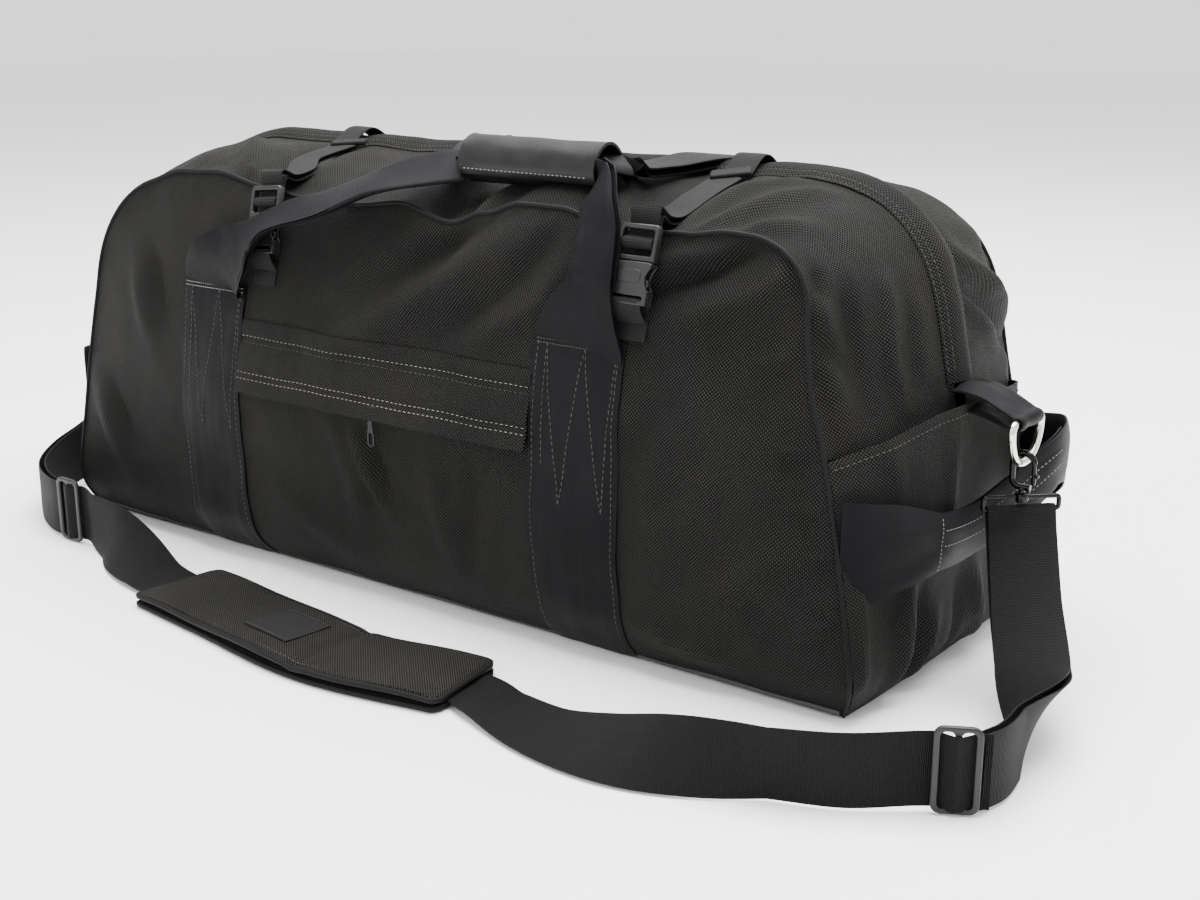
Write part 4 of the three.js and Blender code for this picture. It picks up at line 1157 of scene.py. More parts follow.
def build_base():
    """The bag's underside, and the look of the two hidden CAD pieces that are kept as they are."""
    columns, rows = 60, 26
    points = np.zeros((columns + 1, rows + 1, 3))
    for i in range(columns + 1):
        for j in range(rows + 1):
            u, w = 2 * i / columns - 1, 2 * j / rows - 1
            edge = max(abs(u), abs(w))
            points[i, j] = (u * (HALF_LENGTH - TUCK_X + 1), w * (HALF_DEPTH - TUCK_Y - 1),
                            0.2 + 1.8 * edge ** 14)
    outward = np.array((0, 0, -1.0))
    piece = sheet("base_panel_cloth", points, outward, NYLON, points.copy(), 2)
    place(piece, "bag", "nylon", "base_panel")
    plain = Nodes("board_cover", Roughness=0.7)
    grain = plain.noise(300, 3, 0.6)
    cover = plain.finish(plain.ramp(grain, (0.3, (0.02, 0.02, 0.02)), (0.7, (0.035, 0.035, 0.033))),
                         None, plain.bump(grain, 0.0002, 0.5))
    for node in ("base_board", "pocket_lining"):
        mesh = frame["nodes"][node].data
        mesh.materials.clear()
        mesh.materials.append(cover)


def build_lower_end(end, word, columns=44, rows=34):
    """The layer behind each end pocket."""
    points = np.zeros((columns + 1, rows + 1, 3))
    for i in range(columns + 1):
        w = 2 * i / columns - 1
        for j in range(rows + 1):
            z = 3 + j / rows * (POCKET_SEAM + 1)
            rise = CROWN * min(z / POCKET_SEAM, 1) ** 0.9
            x = HALF_LENGTH - END_LEAN * z + rise * (1 - abs(w) ** 2.2) - 5
            x -= tuck(z, TUCK_X)
            y = w * (half_depth(z) - 4 - tuck(z, TUCK_Y))
            points[i, j] = settle((end * x, y, z), w)
    outward = np.array((float(end), 0, 0))
    piece = sheet(f"lower_end_{word}_cloth", points, outward, NYLON, points[..., [1, 2, 0]].copy())
    place(piece, "bag", "nylon", f"lower_end_{word}")


build_base()
for end_sign, end_word in ENDS:
    build_lower_end(end_sign, end_word)


# ---------- carry handles ----------

def direction(*parts):
    return np.array(parts, float)


WEB = 2.3                                     # thickness of the seat-belt webbing
GRIP = centre_of("grip_wrap")
GRIP[2] = high("grip_wrap", 2) - 18
GRIP_LENGTH = high("grip_wrap", 0) - low("grip_wrap", 0)
LEG = 38                                      # width of a handle folded in half
FOLD_FROM = 243                               # height where its webbing starts to fold
FOLD_OVER = 44                                # and over how much height it does so
GRIP_START, GRIP_SWEEP = 122, 352             # degrees that the leather goes round the handles


def patch_face(x, side):
    """How far out the webbing of a patch lies at its top."""
    return on_panel(side, x, PATCH_TOP, 2.6)[1]


def handle_route(side):
    """The stops of a handle's webbing, from its left patch through the grip to its right one."""
    left, right = patch_face(-PATCH_X, side), patch_face(PATCH_X, side)
    gx, gy, gz = GRIP
    along_x, along_y = (1, 0, 0), (0, 1, 0)
    if side < 0:
        flat = (0, -1, 0)
        return [
            (-195, left, 236, along_x, LEG), (-190, left - 1.5, 250, along_x, LEG),
            (-156, -172, 274, (0.7, -0.3, -0.55), LEG), (-112, -172, 303, (0.3, -0.8, -0.5), LEG),
            (-57, -164, 320, (0.2, -0.8, -0.5), LEG), (-14, -150, 338, (0, -0.85, -0.5), LEG),
            (gx - 84, gy - 24, 349, (0, -0.8, -0.6), 34),
            (gx - 64, gy - 6, 351, (0, -0.8, -0.6), 28),
            (gx - 48, gy, gz - 5, flat, 23), (gx + 45, gy, gz - 5, flat, 23),
            (gx + 62, gy - 6, gz - 4, (0.1, -1, 0), 25),
            (180, -120, 350, (0.6, -0.8, 0), 28),
            (191, -139, 338, (0.9, -0.45, 0), 32), (203, -155, 316, (0.97, -0.2, 0), 36),
            (207, -167, 288, (1, -0.1, 0), LEG), (200, right - 3, 258, along_x, LEG),
            (195, right, 236, along_x, LEG)]
    return [
        (-195, left, 236, along_x, LEG), (-194, left + 1.5, 250, along_x, LEG),
        (-184, 172, 286, along_x, LEG), (-160, 158, 326, (0.9, 0, 0.3), LEG),
        (-110, 102, top_height(-110, 102, 6), (0.7, 0.6, 0), LEG),
        (-50, 25, top_height(-50, 25, 10), (0.6, 0.7, 0), LEG),
        (0, -62, 349, (0.4, 0.9, 0), 30), (gx - 70, gy, gz + 1, along_y, 24),
        (gx - 50, gy, gz + 5, along_y, 23), (gx + 50, gy, gz + 5, along_y, 23),
        (gx + 70, gy + 6, gz, along_y, 25),
        (187, -58, top_height(187, -58, 10), (0.9, 0.4, 0), 30),
        (194, 0, top_height(194, 0, 9), along_x, LEG),
        (195, 60, top_height(195, 60, 6), along_x, LEG),
        (195, 114, top_height(195, 114, 5), along_x, LEG),
        (194, 158, 324, along_x, LEG), (192, 172, 286, along_x, LEG),
        (194, right + 1.5, 252, along_x, LEG), (195, right, 236, along_x, LEG)]


def build_handle(side, word):
    """One length of webbing, flat on both patches and folded in half along its length between."""
    line = Line(handle_route(side), step=5)
    half_way = line.length / 2
    # On which side of the webbing the bag is, near the left and the right patch.
    toward = [math.copysign(1, line.normal[k][1] * -side) for k in (6, -7)]

    def from_end(i):
        return min(line.run[i], line.length - line.run[i])

    def fold_line(i):
        """How much of the inner half still lies flat at station i, in mm."""
        near = from_end(i)
        rise = 1.0 if near > 110 else np.clip((line.centre[i][2] - FOLD_FROM) / FOLD_OVER, 0, 1)
        return LEG * (1 - float(rise))

    def curve(i, a):
        flat = fold_line(i)
        doubled = 1 - flat / LEG
        width = LEG + (line.width[i] - LEG) * doubled ** 3
        early = line.run[i] < half_way
        behind = toward[0 if early else 1]
        behind *= smooth_step(abs(line.run[i] - half_way) / 20)
        wave = 0.9 * noise.noise(Vector((line.run[i] / 40, a * 1.2, side * 4)))
        near = from_end(i)
        crumple = 2.4 * noise.noise(Vector((line.run[i] / 15, a * 1.8, side * 7)))
        wave += crumple * math.exp(-((near - 52) / 26) ** 2)
        wave *= min(near, 30) / 30
        flat *= width / LEG
        if a >= -0.5:
            across, rise = (a * width if a >= 0 else 2 * a * flat), 0.0
        else:
            # Past the slanting fold the webbing comes back behind itself.
            beyond = (width - flat) * (-2 * a - 1)
            across = beyond - flat
            rise = 3.4 * smooth_step(beyond / 5) + 2.5 * beyond / width
        across -= (width - flat) / 2
        rise = (rise - 1.4 * (1 - a * a) * doubled) * behind + wave
        return across * (-1 if early else 1), rise

    name = f"handle_strap_{word}"
    piece = band(name + "_webbing", line, WEB, SEAT_BELT, curve, points_across=25)
    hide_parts(name)
    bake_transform(piece)


def build_grip():
    """A leather sleeve curled round both handles; its inner edge tucks behind the front one."""
    across, along = 56, 44
    points = np.zeros((along + 1, across + 1, 3))
    outward = np.zeros_like(points)
    for i in range(along + 1):
        u = i / along
        x = GRIP[0] + (u - 0.5) * GRIP_LENGTH
        end = max(abs(2 * u - 1) - 0.9, 0) / 0.1
        for j in range(across + 1):
            angle = math.radians(GRIP_START - GRIP_SWEEP * j / across)
            radius = 18.6 - 3.4 * smooth_step((j / across - 0.66) / 0.34)
            radius += 0.5 * end ** 2
            radius += 0.6 * noise.noise(Vector((x / 30, angle * 1.3, 3)))
            squash = 1 + 0.05 * math.cos(2 * angle)
            points[i, j] = (x, GRIP[1] - radius * math.sin(angle) / squash,
                            GRIP[2] + radius * math.cos(angle) * squash - 1)
            outward[i, j] = (0, -math.sin(angle), math.cos(angle))
    piece = sheet("grip_wrap_leather", points, outward, LEATHER, points, 2.2)
    place(piece, "carry_handles", "leather", "grip_wrap")
    rows = Stitches("grip_stitches", PALE_THREAD, "carry_handles")
    grid = (points, grid_normals(points, outward))
    row_on(rows, grid, [(u, 0.045) for u in np.linspace(0.03, 0.97, 60)], length=2.8, space=1.3,
           radius=0.45)
    rows.finish("leather")


for side_sign, side_word in SIDES:
    build_handle(side_sign, side_word)
build_grip()


# ---------- grab handles on the ends ----------

GRAB_WIDE = 76                                # width of a grab handle where it is sewn in
DOUBLED = (84, 250)                           # stretch of it that is doubled, along its length


def grab_route(end):
    """The stops of a grab handle, from the front seam round the end to the back one."""
    z = (0, 0, 1)
    stops = ((402, -151, 119, GRAB_WIDE), (414, -137, 119, 72), (425, -114, 119, 62),
             (435.5, -70, 114, 42), (439, -20, 112, 38), (452, 25, 128, 38), (464, 62, 147, 40),
             (453, 105, 145, 50), (428, 135, 130, 66), (402, 151, 119, GRAB_WIDE))
    return [(end * x, y, h, z, width) for x, y, h, width in stops]


def build_grab_handle(end, word):
    """Wide where it is sewn into the side seams, folded double along the middle."""
    line = Line(grab_route(end), step=4)
    out = end * np.sign(line.normal[len(line.run) // 2][0])

    def curve(i, a):
        slim = smooth_step((GRAB_WIDE - line.width[i]) / 34)
        wave = 1.1 * noise.noise(Vector((line.run[i] / 34, a * 1.5, end * 5)))
        crease = 1.6 * math.sin(math.pi * a * 1.5) * slim * (1 - slim) * 3
        bow = 2.2 * slim * (1 - a * a)
        ends = min(line.run[i], line.length - line.run[i]) / 25
        return a * line.width[i] / 2, (wave + crease + bow) * min(ends, 1) * out

    piece = band(f"grab_handle_{word}_webbing", line, WEB, SEAT_BELT, curve, points_across=13)
    place(piece, "bag", "seat_belt_webbing", f"grab_handle_{word}")
    # The doubled layer and its stitches run along the narrow middle.
    first, last = (int(np.argmax(line.run > place_at)) for place_at in DOUBLED)
    inner = Line(grab_route(end), step=4)
    inner.centre = line.centre[first:last] - line.normal[first:last] * out * 2.7
    for key in ("across", "normal"):
        setattr(inner, key, getattr(line, key)[first:last])
    inner.run = line.run[first:last]
    inner.width = line.width[first:last] - 1.5
    layer = band(f"grab_handle_{word}_fold", inner, WEB, SEAT_BELT,
                 lambda i, a: (a * inner.width[i] / 2, 2.2 * (1 - a * a) * out), points_across=9)
    place(layer, "bag", "seat_belt_webbing")
    for a in (-0.12, 0.42):
        path, normals = [], []
        for i in range(first + 2, last - 2):
            across, rise = curve(i, a)
            normal = line.normal[i] * out
            path.append(line.centre[i] + across * line.across[i] + rise * line.normal[i]
                        + normal * WEB / 2)
            normals.append(normal)
        pale.row(path, normals, length=2.4, space=1.6, radius=0.42)
    # A cross row marks where the fold is caught down.
    i = first + 1
    spots = [curve(i, a) for a in np.linspace(-0.95, 0.95, 24)]
    path = [line.centre[i] + s[0] * line.across[i] + s[1] * line.normal[i]
            + line.normal[i] * out * WEB / 2 for s in spots]
    pale.row(path, [line.normal[i] * out] * len(path), length=2.2, space=0.8, radius=0.4)


for end_sign, end_word in ENDS:
    build_grab_handle(end_sign, end_word)


# ---------- ring tabs, rings, hooks ----------

RING = np.array((mid("d_ring_right", 0), 0, high("d_ring_right", 2) - 3))
RING_HALF = 25.0                              # half the D-ring's width
RING_DROP = 6.0                               # from the straight bar down to the bow's centre
RING_BEND = 5.0                               # radius of its two corners
RING_WIRE = 2.9                               # radius of its wire
# Inner radius of the tab's turn round the ring: half the CAD ring's thickness, and a gap.
TAB_INSIDE = (high("d_ring_right", 0) - low("d_ring_right", 0)) / 2 / 1.02 + 0.5
LOOP_LOW = low("wire_loop_right", 2) + 1.8    # middle of the wire loop's lower bar
LOOP_ACROSS = normalize(direction(0.72, 0.694, 0))


def flipped(points, end):
    return np.asarray(points, float) * (end, 1, 1)


def build_ring_tab(end, word):
    """The webbing loop that holds a D-ring: out over the ring's bar and back below it."""
    turn = TAB_INSIDE + WEB / 2
    line_points = [(416, 0, 211), (428, 0, 210.5), (442, 0, 206)]
    for angle in np.linspace(math.pi / 2 + 0.35, -math.pi / 2 - 0.15, 14):
        line_points.append((RING[0] + turn * math.cos(angle), 0, RING[2] + turn * math.sin(angle)))
    line_points += [(444, 0, 192), (434, 0, 195), (424, 0, 197)]
    widths = np.interp(np.arange(len(line_points)), (0, 2, 5, 14, 19), (46, 42, 36, 36, 40))
    stops = [(end * x, y, z, (0, 1, 0), w) for (x, y, z), w in zip(line_points, widths)]
    line = Line(stops, step=2)
    top = np.sign(line.normal[2][2])

    def curve(i, a):
        fold = 3.2 * math.cos(a * 4.2) * smooth_step(1 - line.run[i] / 46)
        curl = 1.2 * noise.noise(Vector((line.run[i] / 16, a * 2, end)))
        return a * line.width[i] / 2, (fold * 0.6 + curl * min(line.run[i] / 12, 1)) * top

    piece = band(f"ring_tab_{word}_webbing", line, WEB, SEAT_BELT, curve, points_across=15)
    place(piece, "bag", "seat_belt_webbing", f"ring_tab_{word}")


def ring_path():
    """A straight bar on top and a rounded bow below, seen along X."""
    half, bend = RING_HALF, RING_BEND
    path = [(RING[0], y, RING[2]) for y in np.linspace(-half + bend, half - bend, 14)]
    for angle in np.linspace(math.pi / 2, 0, 7)[1:]:
        path.append((RING[0], half - bend + bend * math.cos(angle),
                     RING[2] - bend + bend * math.sin(angle)))
    for angle in np.linspace(0, -math.pi, 40)[1:]:
        path.append((RING[0], half * math.cos(angle),
                     RING[2] - RING_DROP + half * math.sin(angle)))
    for angle in np.linspace(math.pi, math.pi / 2, 7)[1:-1]:
        path.append((RING[0], -half + bend + bend * math.cos(angle),
                     RING[2] - bend + bend * math.sin(angle)))
    return path


def join_parts(name, parts, material, sharp=50):
    """One mesh from several (points, faces) shapes."""
    points, faces = [], []
    for part_points, part_faces in parts:
        start = sum(len(p) for p in points)
        points.append(np.asarray(part_points, float))
        faces += [tuple(start + k for k in f) for f in part_faces]
    return make_object(name, np.concatenate(points), faces, material, None, sharp)


def turned(profile, centre, axis, sides=28):
    """A turned shape: profile is (distance along the axis, radius), around an axis."""
    way = normalize(direction(*axis))
    side = normalize(np.cross(way, (0.3, 0.5, 0.81)))
    top = np.cross(way, side)
    points = []
    for distance, radius in profile:
        points += rod_ring(np.asarray(centre, float) + way * distance, radius, side, top, sides)
    points = np.array(points)
    return points, orient(points, rod_faces(len(profile), sides))


def build_hardware(end, word):
    """The D-ring, the snap hook with its gate, and the wire loop of one end."""
    ring = tube(f"d_ring_{word}_metal", flipped(ring_path(), end), RING_WIRE, NICKEL, 20,
                closed=True, normal=(1, 0, 0))
    place(ring, f"ring_{word}", "nickel", f"d_ring_{word}")
    # Snap hook: a bow over the ring, one long side, a foot, and a swivel stem below.
    eye_x, eye_z, radius = RING[0], RING[2] - RING_DROP - RING_HALF - 1.5, 8.0
    foot = eye_z - 17
    hook = [(eye_x + radius * math.cos(a), 0, eye_z + radius * math.sin(a))
            for a in np.linspace(0.1, math.pi, 26)]
    hook += [(eye_x - radius, 0, z) for z in np.linspace(eye_z - 2, foot + 6, 8)]
    hook += [(eye_x - radius + 6 * (1 - math.cos(a)), 0, foot + 6 - 6 * math.sin(a))
             for a in np.linspace(0.2, math.pi / 2, 8)]
    hook += [(eye_x + x, 0, foot) for x in (0.5, 3, 6)]
    sizes = np.interp(np.arange(len(hook)), (0, 4, 20, 34, len(hook) - 1),
                      (2.0, 2.3, 2.5, 2.2, 2.4))
    parts = [tube_parts(flipped(hook, end), sizes, 14, normal=(0, 1, 0))]
    stem = ((0, 1.2), (-1, 3.0), (-2.4, 3.3), (-3, 2.2), (-10.6, 2.2), (-10.8, 3.4), (-11.4, 3.7),
            (-12.2, 3.4), (-12.6, 2.2))
    parts.append(turned(stem, (end * eye_x, 0, foot + 1), (0, 0, 1)))
    place(join_parts(f"snap_hook_{word}_metal", parts, BLACK_METAL), f"hook_{word}", "black_metal",
          f"snap_hook_{word}")
    gate_top = eye_z + 1.2
    gate = [(eye_x + 8, 0, foot + 2.6), (eye_x + 8, 0, foot + 6), (eye_x + 8, 0, gate_top - 5),
            (eye_x + 7.9, 0, gate_top - 1)]
    parts = [tube_parts(flipped(gate, end), (1.3, 1.7, 1.7, 1.4), 14, normal=(0, 1, 0))]
    knob = ((-0.6, 1.0), (0, 1.7), (2.2, 1.7), (2.8, 1.0))
    parts.append(turned(knob, (end * (eye_x + 8.8), 0, foot + 9.5), (end, 0, 0)))
    place(join_parts(f"hook_gate_{word}_metal", parts, BLACK_METAL), f"gate_{word}", "black_metal",
          f"hook_gate_{word}")
    # Wire loop with the collar that the stem turns in.
    half, top, low_z, bend = 28.0, foot - 7.2, LOOP_LOW, 2.6
    path = []
    corners = ((1, top - bend, 0), (1, low_z + bend, -1), (-1, low_z + bend, -2),
               (-1, top - bend, -3))
    for way, z, quarter in corners:
        for angle in np.linspace(math.pi / 2, 0, 6):
            turn_angle = angle + quarter * math.pi / 2
            path.append(direction(RING[0], 0, z) + LOOP_ACROSS * (way * (half - bend)
                        + bend * math.cos(turn_angle)) + (0, 0, bend * math.sin(turn_angle)))
    across = LOOP_ACROSS * (end, 1, 1)
    normal = np.cross(across, (0, 0, 1))
    wire = tube_parts(flipped(path, end), 1.8, 14, closed=True, normal=normal)
    collar = ((-2.9, 3.2), (-2.6, 4.6), (-1.6, 5.0), (1.6, 5.0), (2.6, 4.6), (2.9, 3.2))
    parts = [wire, turned(collar, (end * RING[0], 0, top), (0, 0, 1))]
    place(join_parts(f"wire_loop_{word}_metal", parts, BLACK_METAL), f"ring_{word}", "black_metal",
          f"wire_loop_{word}")


for end_sign, end_word in ENDS:
    build_ring_tab(end_sign, end_word)
    build_hardware(end_sign, end_word)


# ---------- flat moulded shapes ----------

def rounded(width, height, radius, x=0.0, z=0.0, steps=6):
    """Corner-rounded rectangle as a list of points."""
    radius = min(radius, width / 2 - 0.01, height / 2 - 0.01)
    points = []
    for quarter, (cx, cz) in enumerate(((1, 1), (-1, 1), (-1, -1), (1, -1))):
        for k in range(steps + 1):
            angle = (quarter + k / steps) * math.pi / 2
            points.append((x + cx * (width / 2 - radius) + radius * math.cos(angle),
                           z + cz * (height / 2 - radius) + radius * math.sin(angle)))
    return points


class Plate:
    """Flat outlines with holes, given a thickness and softly rounded edges, set in a frame."""

    def __init__(self, origin, side, outward, up):
        self.origin, self.side, self.outward, self.up = (
            np.asarray(v, float) for v in (origin, side, outward, up))
        self.parts = []

    def add(self, outlines, thickness, depth=0.0, bevel=0.6):
        """outlines lie in the side-up plane; depth is how far the middle stands outward."""
        bevel = min(bevel, thickness / 2 - 0.05)
        curve = bpy.data.curves.new("outline", "CURVE")
        curve.dimensions = "2D"
        curve.fill_mode = "BOTH"
        curve.extrude = thickness / 2 - bevel
        curve.bevel_depth = bevel
        curve.bevel_resolution = 2
        curve.offset = -bevel
        for outline_points in outlines:
            spline = curve.splines.new("POLY")
            spline.points.add(len(outline_points) - 1)
            for point, (x, z) in zip(spline.points, outline_points):
                point.co = (x, z, 0, 1)
            spline.use_cyclic_u = True
        holder = bpy.data.objects.new("outline", curve)
        bpy.context.scene.collection.objects.link(holder)
        bpy.context.view_layer.update()
        mesh = holder.evaluated_get(bpy.context.evaluated_depsgraph_get()).to_mesh()
        at = np.array([v.co for v in mesh.vertices], float)
        faces = [tuple(f.vertices) for f in mesh.polygons]
        holder.evaluated_get(bpy.context.evaluated_depsgraph_get()).to_mesh_clear()
        bpy.data.objects.remove(holder)
        bpy.data.curves.remove(curve)
        points = (self.origin + at[:, :1] * self.side + at[:, 1:2] * self.up
                  + (depth + at[:, 2:]) * self.outward)
        # The frame may be left-handed against the outline's own, so faces are turned to match.
        if np.dot(np.cross(self.side, self.up), self.outward) < 0:
            faces = [tuple(reversed(f)) for f in faces]
        self.parts.append((points, faces))

    def point(self, across, depth, height):
        return self.origin + across * self.side + depth * self.outward + height * self.up

    def finish(self, name, material, body, slot, *nodes):
        piece = join_parts(name, self.parts, material, 40)
        return place(piece, body, slot, *nodes)


# ---------- compression straps ----------

def joint_axis(name):
    for joint in frame["joints"]:
        if joint["name"] == name:
            return normalize(np.array(joint["axis"], float))
    raise ValueError(name)


# Heights above the foot of a side-release buckle's socket.
PLUG_BAR = 43.6                               # the plug's middle bar
PLUG_TOP = 56.4                               # the plug's upper edge


class BuckleFrame:
    """Where a side-release buckle's foot is, and the directions across, into and up it."""

    def __init__(self, word):
        self.up = joint_axis(f"plug_pull_{word}")
        self.inward = joint_axis(f"arm_squeeze_outer_{word}")
        self.side = normalize(np.cross(self.inward, self.up))
        if self.side[0] < 0:
            self.side = -self.side
        node = f"buckle_socket_{word}"
        self.origin = centre_of(node) - self.up * 15

    def at(self, across, depth, height):
        return self.origin + across * self.side + depth * self.inward + height * self.up


def build_compression_strap(word, over, back_x):
    """The narrow strap from the back seam over the top to its buckle. over holds three places on
    the top, (x, y), from the front to the back; back_x is where it is sewn in behind."""
    buckle = BuckleFrame(word)
    side = tuple(buckle.side)
    plain = (1, 0, 0)
    width = 25

    def on_back(z, lift):
        return (*on_panel(1, back_x, z, lift), plain, width)

    def on_top(x, y, lift):
        return (x, y, top_height(x, y, lift), plain, width)

    def on_buckle(depth, height):
        return (*buckle.at(0, depth, height), side, width)

    (ax, ay), (bx, _), (cx, cy) = over
    near_x = buckle.origin[0] + buckle.up[0] * 62
    behind = 5.6
    stops = [
        on_back(256, 1.5), on_back(290, 2.5), (back_x, 154, 318, plain, width),
        on_top(back_x, 126, 3.5), on_top(cx, cy, 2.5),
        on_top(bx, 26, 6), on_top(bx, 0, 13.5), on_top(bx, -26, 6),
        on_top(ax, ay - 5, 2.6), on_top(near_x, -112, 2.6), on_top(near_x, -128, 6),
        on_buckle(behind + 1.0, PLUG_TOP + 8), on_buckle(behind, PLUG_TOP - 3),
        on_buckle(behind - 0.6, PLUG_BAR - 0.5), on_buckle(3.2, PLUG_BAR - 3.2),
        on_buckle(0, PLUG_BAR - 3.6), on_buckle(-2.7, PLUG_BAR - 2), on_buckle(-3.2, PLUG_BAR),
        on_buckle(-2.7, PLUG_BAR + 2), on_buckle(0, PLUG_BAR + 3.7), on_buckle(2.8, PLUG_BAR + 5),
        on_buckle(behind - 1.7, PLUG_BAR + 8.5), on_buckle(behind - 1.7, PLUG_TOP),
        on_buckle(1.5, PLUG_TOP + 13), on_top(near_x, -128, 11), on_top(near_x, -113, 7),
        on_top(ax, ay - 24, 6), on_top(ax, ay, 7.2), on_top(ax, ay + 22, 9)]
    line = Line(stops, step=2.5)

    def curve(i, a):
        return a * width / 2, 0.5 * noise.noise(Vector((line.run[i] / 22, a, back_x)))

    name = f"compression_strap_{word}"
    piece = band(name + "_webbing", line, 1.5, NARROW_WEB, curve, points_across=9)
    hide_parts(name)
    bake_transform(piece)
    # The loose tail ends in a thick folded tab, sewn across.
    tip, way = line.centre[-1], line.tangent[-1]
    skew = normalize(line.across[-1] * 0.86 + way * 0.5)
    normal = line.normal[-1] * np.sign(line.normal[-1][2])
    tab = Plate(tip + way * 5 + normal * 1.2, skew, normal, np.cross(normal, skew))
    tab.add([rounded(31, 15, 2.5)], 4.2, bevel=1.6)
    tab.finish(f"strap_tab_{word}", NARROW_WEB, "bag", "coarse_webbing")
    rows = Stitches(f"strap_tab_{word}_stitches", DARK_THREAD)
    for height in (-4.5, 4.5):
        path = [tab.point(a, 2.1, height) for a in np.linspace(-13, 13, 9)]
        rows.row(path, [normal] * 9, length=2.2, space=1.0, radius=0.35)
    rows.finish("coarse_webbing")
    # The short anchor is sewn to the panel and goes through the socket's lower bar.
    ox = buckle.origin[0]
    stops = [(*on_panel(-1, ox, z, 1.2), side, width) for z in (246, 256, 266)]
    stops += [on_buckle(depth, height)
              for depth, height in ((5.2, 3), (3.6, 6.6), (0, 4.6), (-3.8, 3.6), (-2, -2.5))]
    stops += [(*on_panel(-1, ox, 258, 3.2), side, width)]
    anchor = band(f"strap_anchor_{word}_webbing", Line(stops, step=2), 1.5, NARROW_WEB,
                  lambda i, a: (a * width / 2, 0))
    place(anchor, "bag", "coarse_webbing", f"strap_anchor_{word}")


def build_buckle(word):
    """The socket, the plug and the plug's two sprung arms of one side-release buckle."""
    f = BuckleFrame(word)
    out = -f.inward
    socket = Plate(f.origin, f.side, out, f.up)
    # The waisted outline shows the tips of the two arms at the sides.
    notch = [3.6 * math.sin(math.pi * k / 12) ** 0.8 for k in range(1, 12)]
    waist = [(-16.5, 0.8), (-15.7, 0), (15.7, 0), (16.5, 0.8), (16.5, 9.5)]
    waist += [(16.5 - deep, 10.5 + 16 * k / 12) for k, deep in enumerate(notch, 1)]
    waist += [(16.5, 27), (16.2, 29), (14, 30), (-14, 30), (-16.2, 29), (-16.5, 27)]
    waist += [(-16.5 + deep, 26.5 - 16 * k / 12) for k, deep in enumerate(notch, 1)]
    waist += [(-16.5, 9.5)]
    slot = rounded(26, 3.4, 1.4, 0, 4.6)
    socket.add([waist, slot], 2.0, 3.5, bevel=0.8)
    socket.add([waist, slot], 2.0, -3.5, bevel=0.8)
    socket.add([rounded(33, 11, 1.2, 0, 5.5), slot], 6.2, 0, bevel=0.5)
    for sign in (-1, 1):
        socket.add([rounded(3.2, 3.2, 0.8, sign * 14.6, 28.2)], 6.2, 0, bevel=0.4)
    socket.add([rounded(19, 9.5, 4, 0, 20)], 0.9, 4.6, bevel=0.4)
    socket.finish(f"buckle_socket_{word}_shell", PLASTIC, "bag", "black_plastic",
                  f"buckle_socket_{word}")
    plug = Plate(f.origin, f.side, out, f.up)
    frame_outline = [(-16.5, 31), (-15.9, 30.4), (15.9, 30.4), (16.5, 31), (16.5, 54), (14.8, 56.4),
                     (-14.8, 56.4), (-16.5, 54)]
    window = rounded(26.6, 18.4, 2, 0, PLUG_BAR)
    plug.add([frame_outline, window], 6.4, bevel=1.2)
    plug.add([rounded(28, 3.4, 1.4, 0, PLUG_BAR)], 3.4, 0, bevel=1.1)
    plug.add([rounded(5, 20, 1.5, 0, 22)], 3.4, bevel=0.6)
    plug.finish(f"buckle_plug_{word}_frame", PLASTIC, f"plug_{word}", "black_plastic",
                f"buckle_plug_{word}")
    for sign, way in ((1, "outer"), (-1, "inner")):
        arm = Plate(f.origin, f.side * sign, out, f.up)
        prong = [(6.8, 29.5), (6.6, 18), (7.4, 12.4), (9.2, 11.6), (13, 12), (14.7, 13.2),
                 (15.0, 16), (13.6, 18.2), (11, 18.8), (10.1, 20.5), (10.0, 29.5)]
        arm.add([prong], 4.6, bevel=0.8)
        arm.finish(f"buckle_arm_{way}_{word}_prong", PLASTIC, f"arm_{way}_{word}", "black_plastic",
                   f"buckle_arm_{way}_{word}")


for strap_word, strap_over, strap_back in (
        ("right", ((236, -60), (234, 0), (232, 70)), 230),
        ("left", ((-160, -60), (-176, 0), (-192, 70)), -204)):
    build_compression_strap(strap_word, strap_over, strap_back)
    build_buckle(strap_word)


# ---------- zip sliders ----------

def build_pocket_slider():
    face = low("pocket_slider", 1) + 1.6
    slider = Plate((mid("pocket_slider", 0), face, POCKET_ZIP), (1, 0, 0), (0, -1, 0), (0, 0, 1))
    body = [(-4.6, -5), (-3.2, -6), (3.2, -6), (4.6, -5), (3.6, 1), (4.4, 4.6), (2.6, 5.8),
            (0, 5.2), (-2.6, 5.8), (-4.4, 4.6), (-3.6, 1)]
    slider.add([body], 1.8, 0.2, bevel=0.6)
    slider.add([rounded(2.8, 5.4, 1.2, 0, -2.6)], 1.8, 1.7, bevel=0.6)
    slider.finish("pocket_slider_body", BLACK_METAL, "pocket_slider", "black_metal",
                  "pocket_slider")
    pull = Plate(centre_of("pocket_pull"), (1, 0, 0), (0, -1, 0), (0, 0, 1))
    shape = [(-2.2, 11), (2.2, 11), (2.6, 5), (3.8, -2)]
    shape += [(4.0 * math.cos(-math.pi * k / 10), -7.2 + 4 * math.sin(-math.pi * k / 10))
              for k in range(11)]
    shape += [(-3.8, -2), (-2.6, 5)]
    pull.add([shape, rounded(3.8, 9.5, 1.9, 0, -4.6)], 1.5, bevel=0.55)
    pull.finish("pocket_pull_tab", BLACK_METAL, "pocket_pull", "black_metal", "pocket_pull")


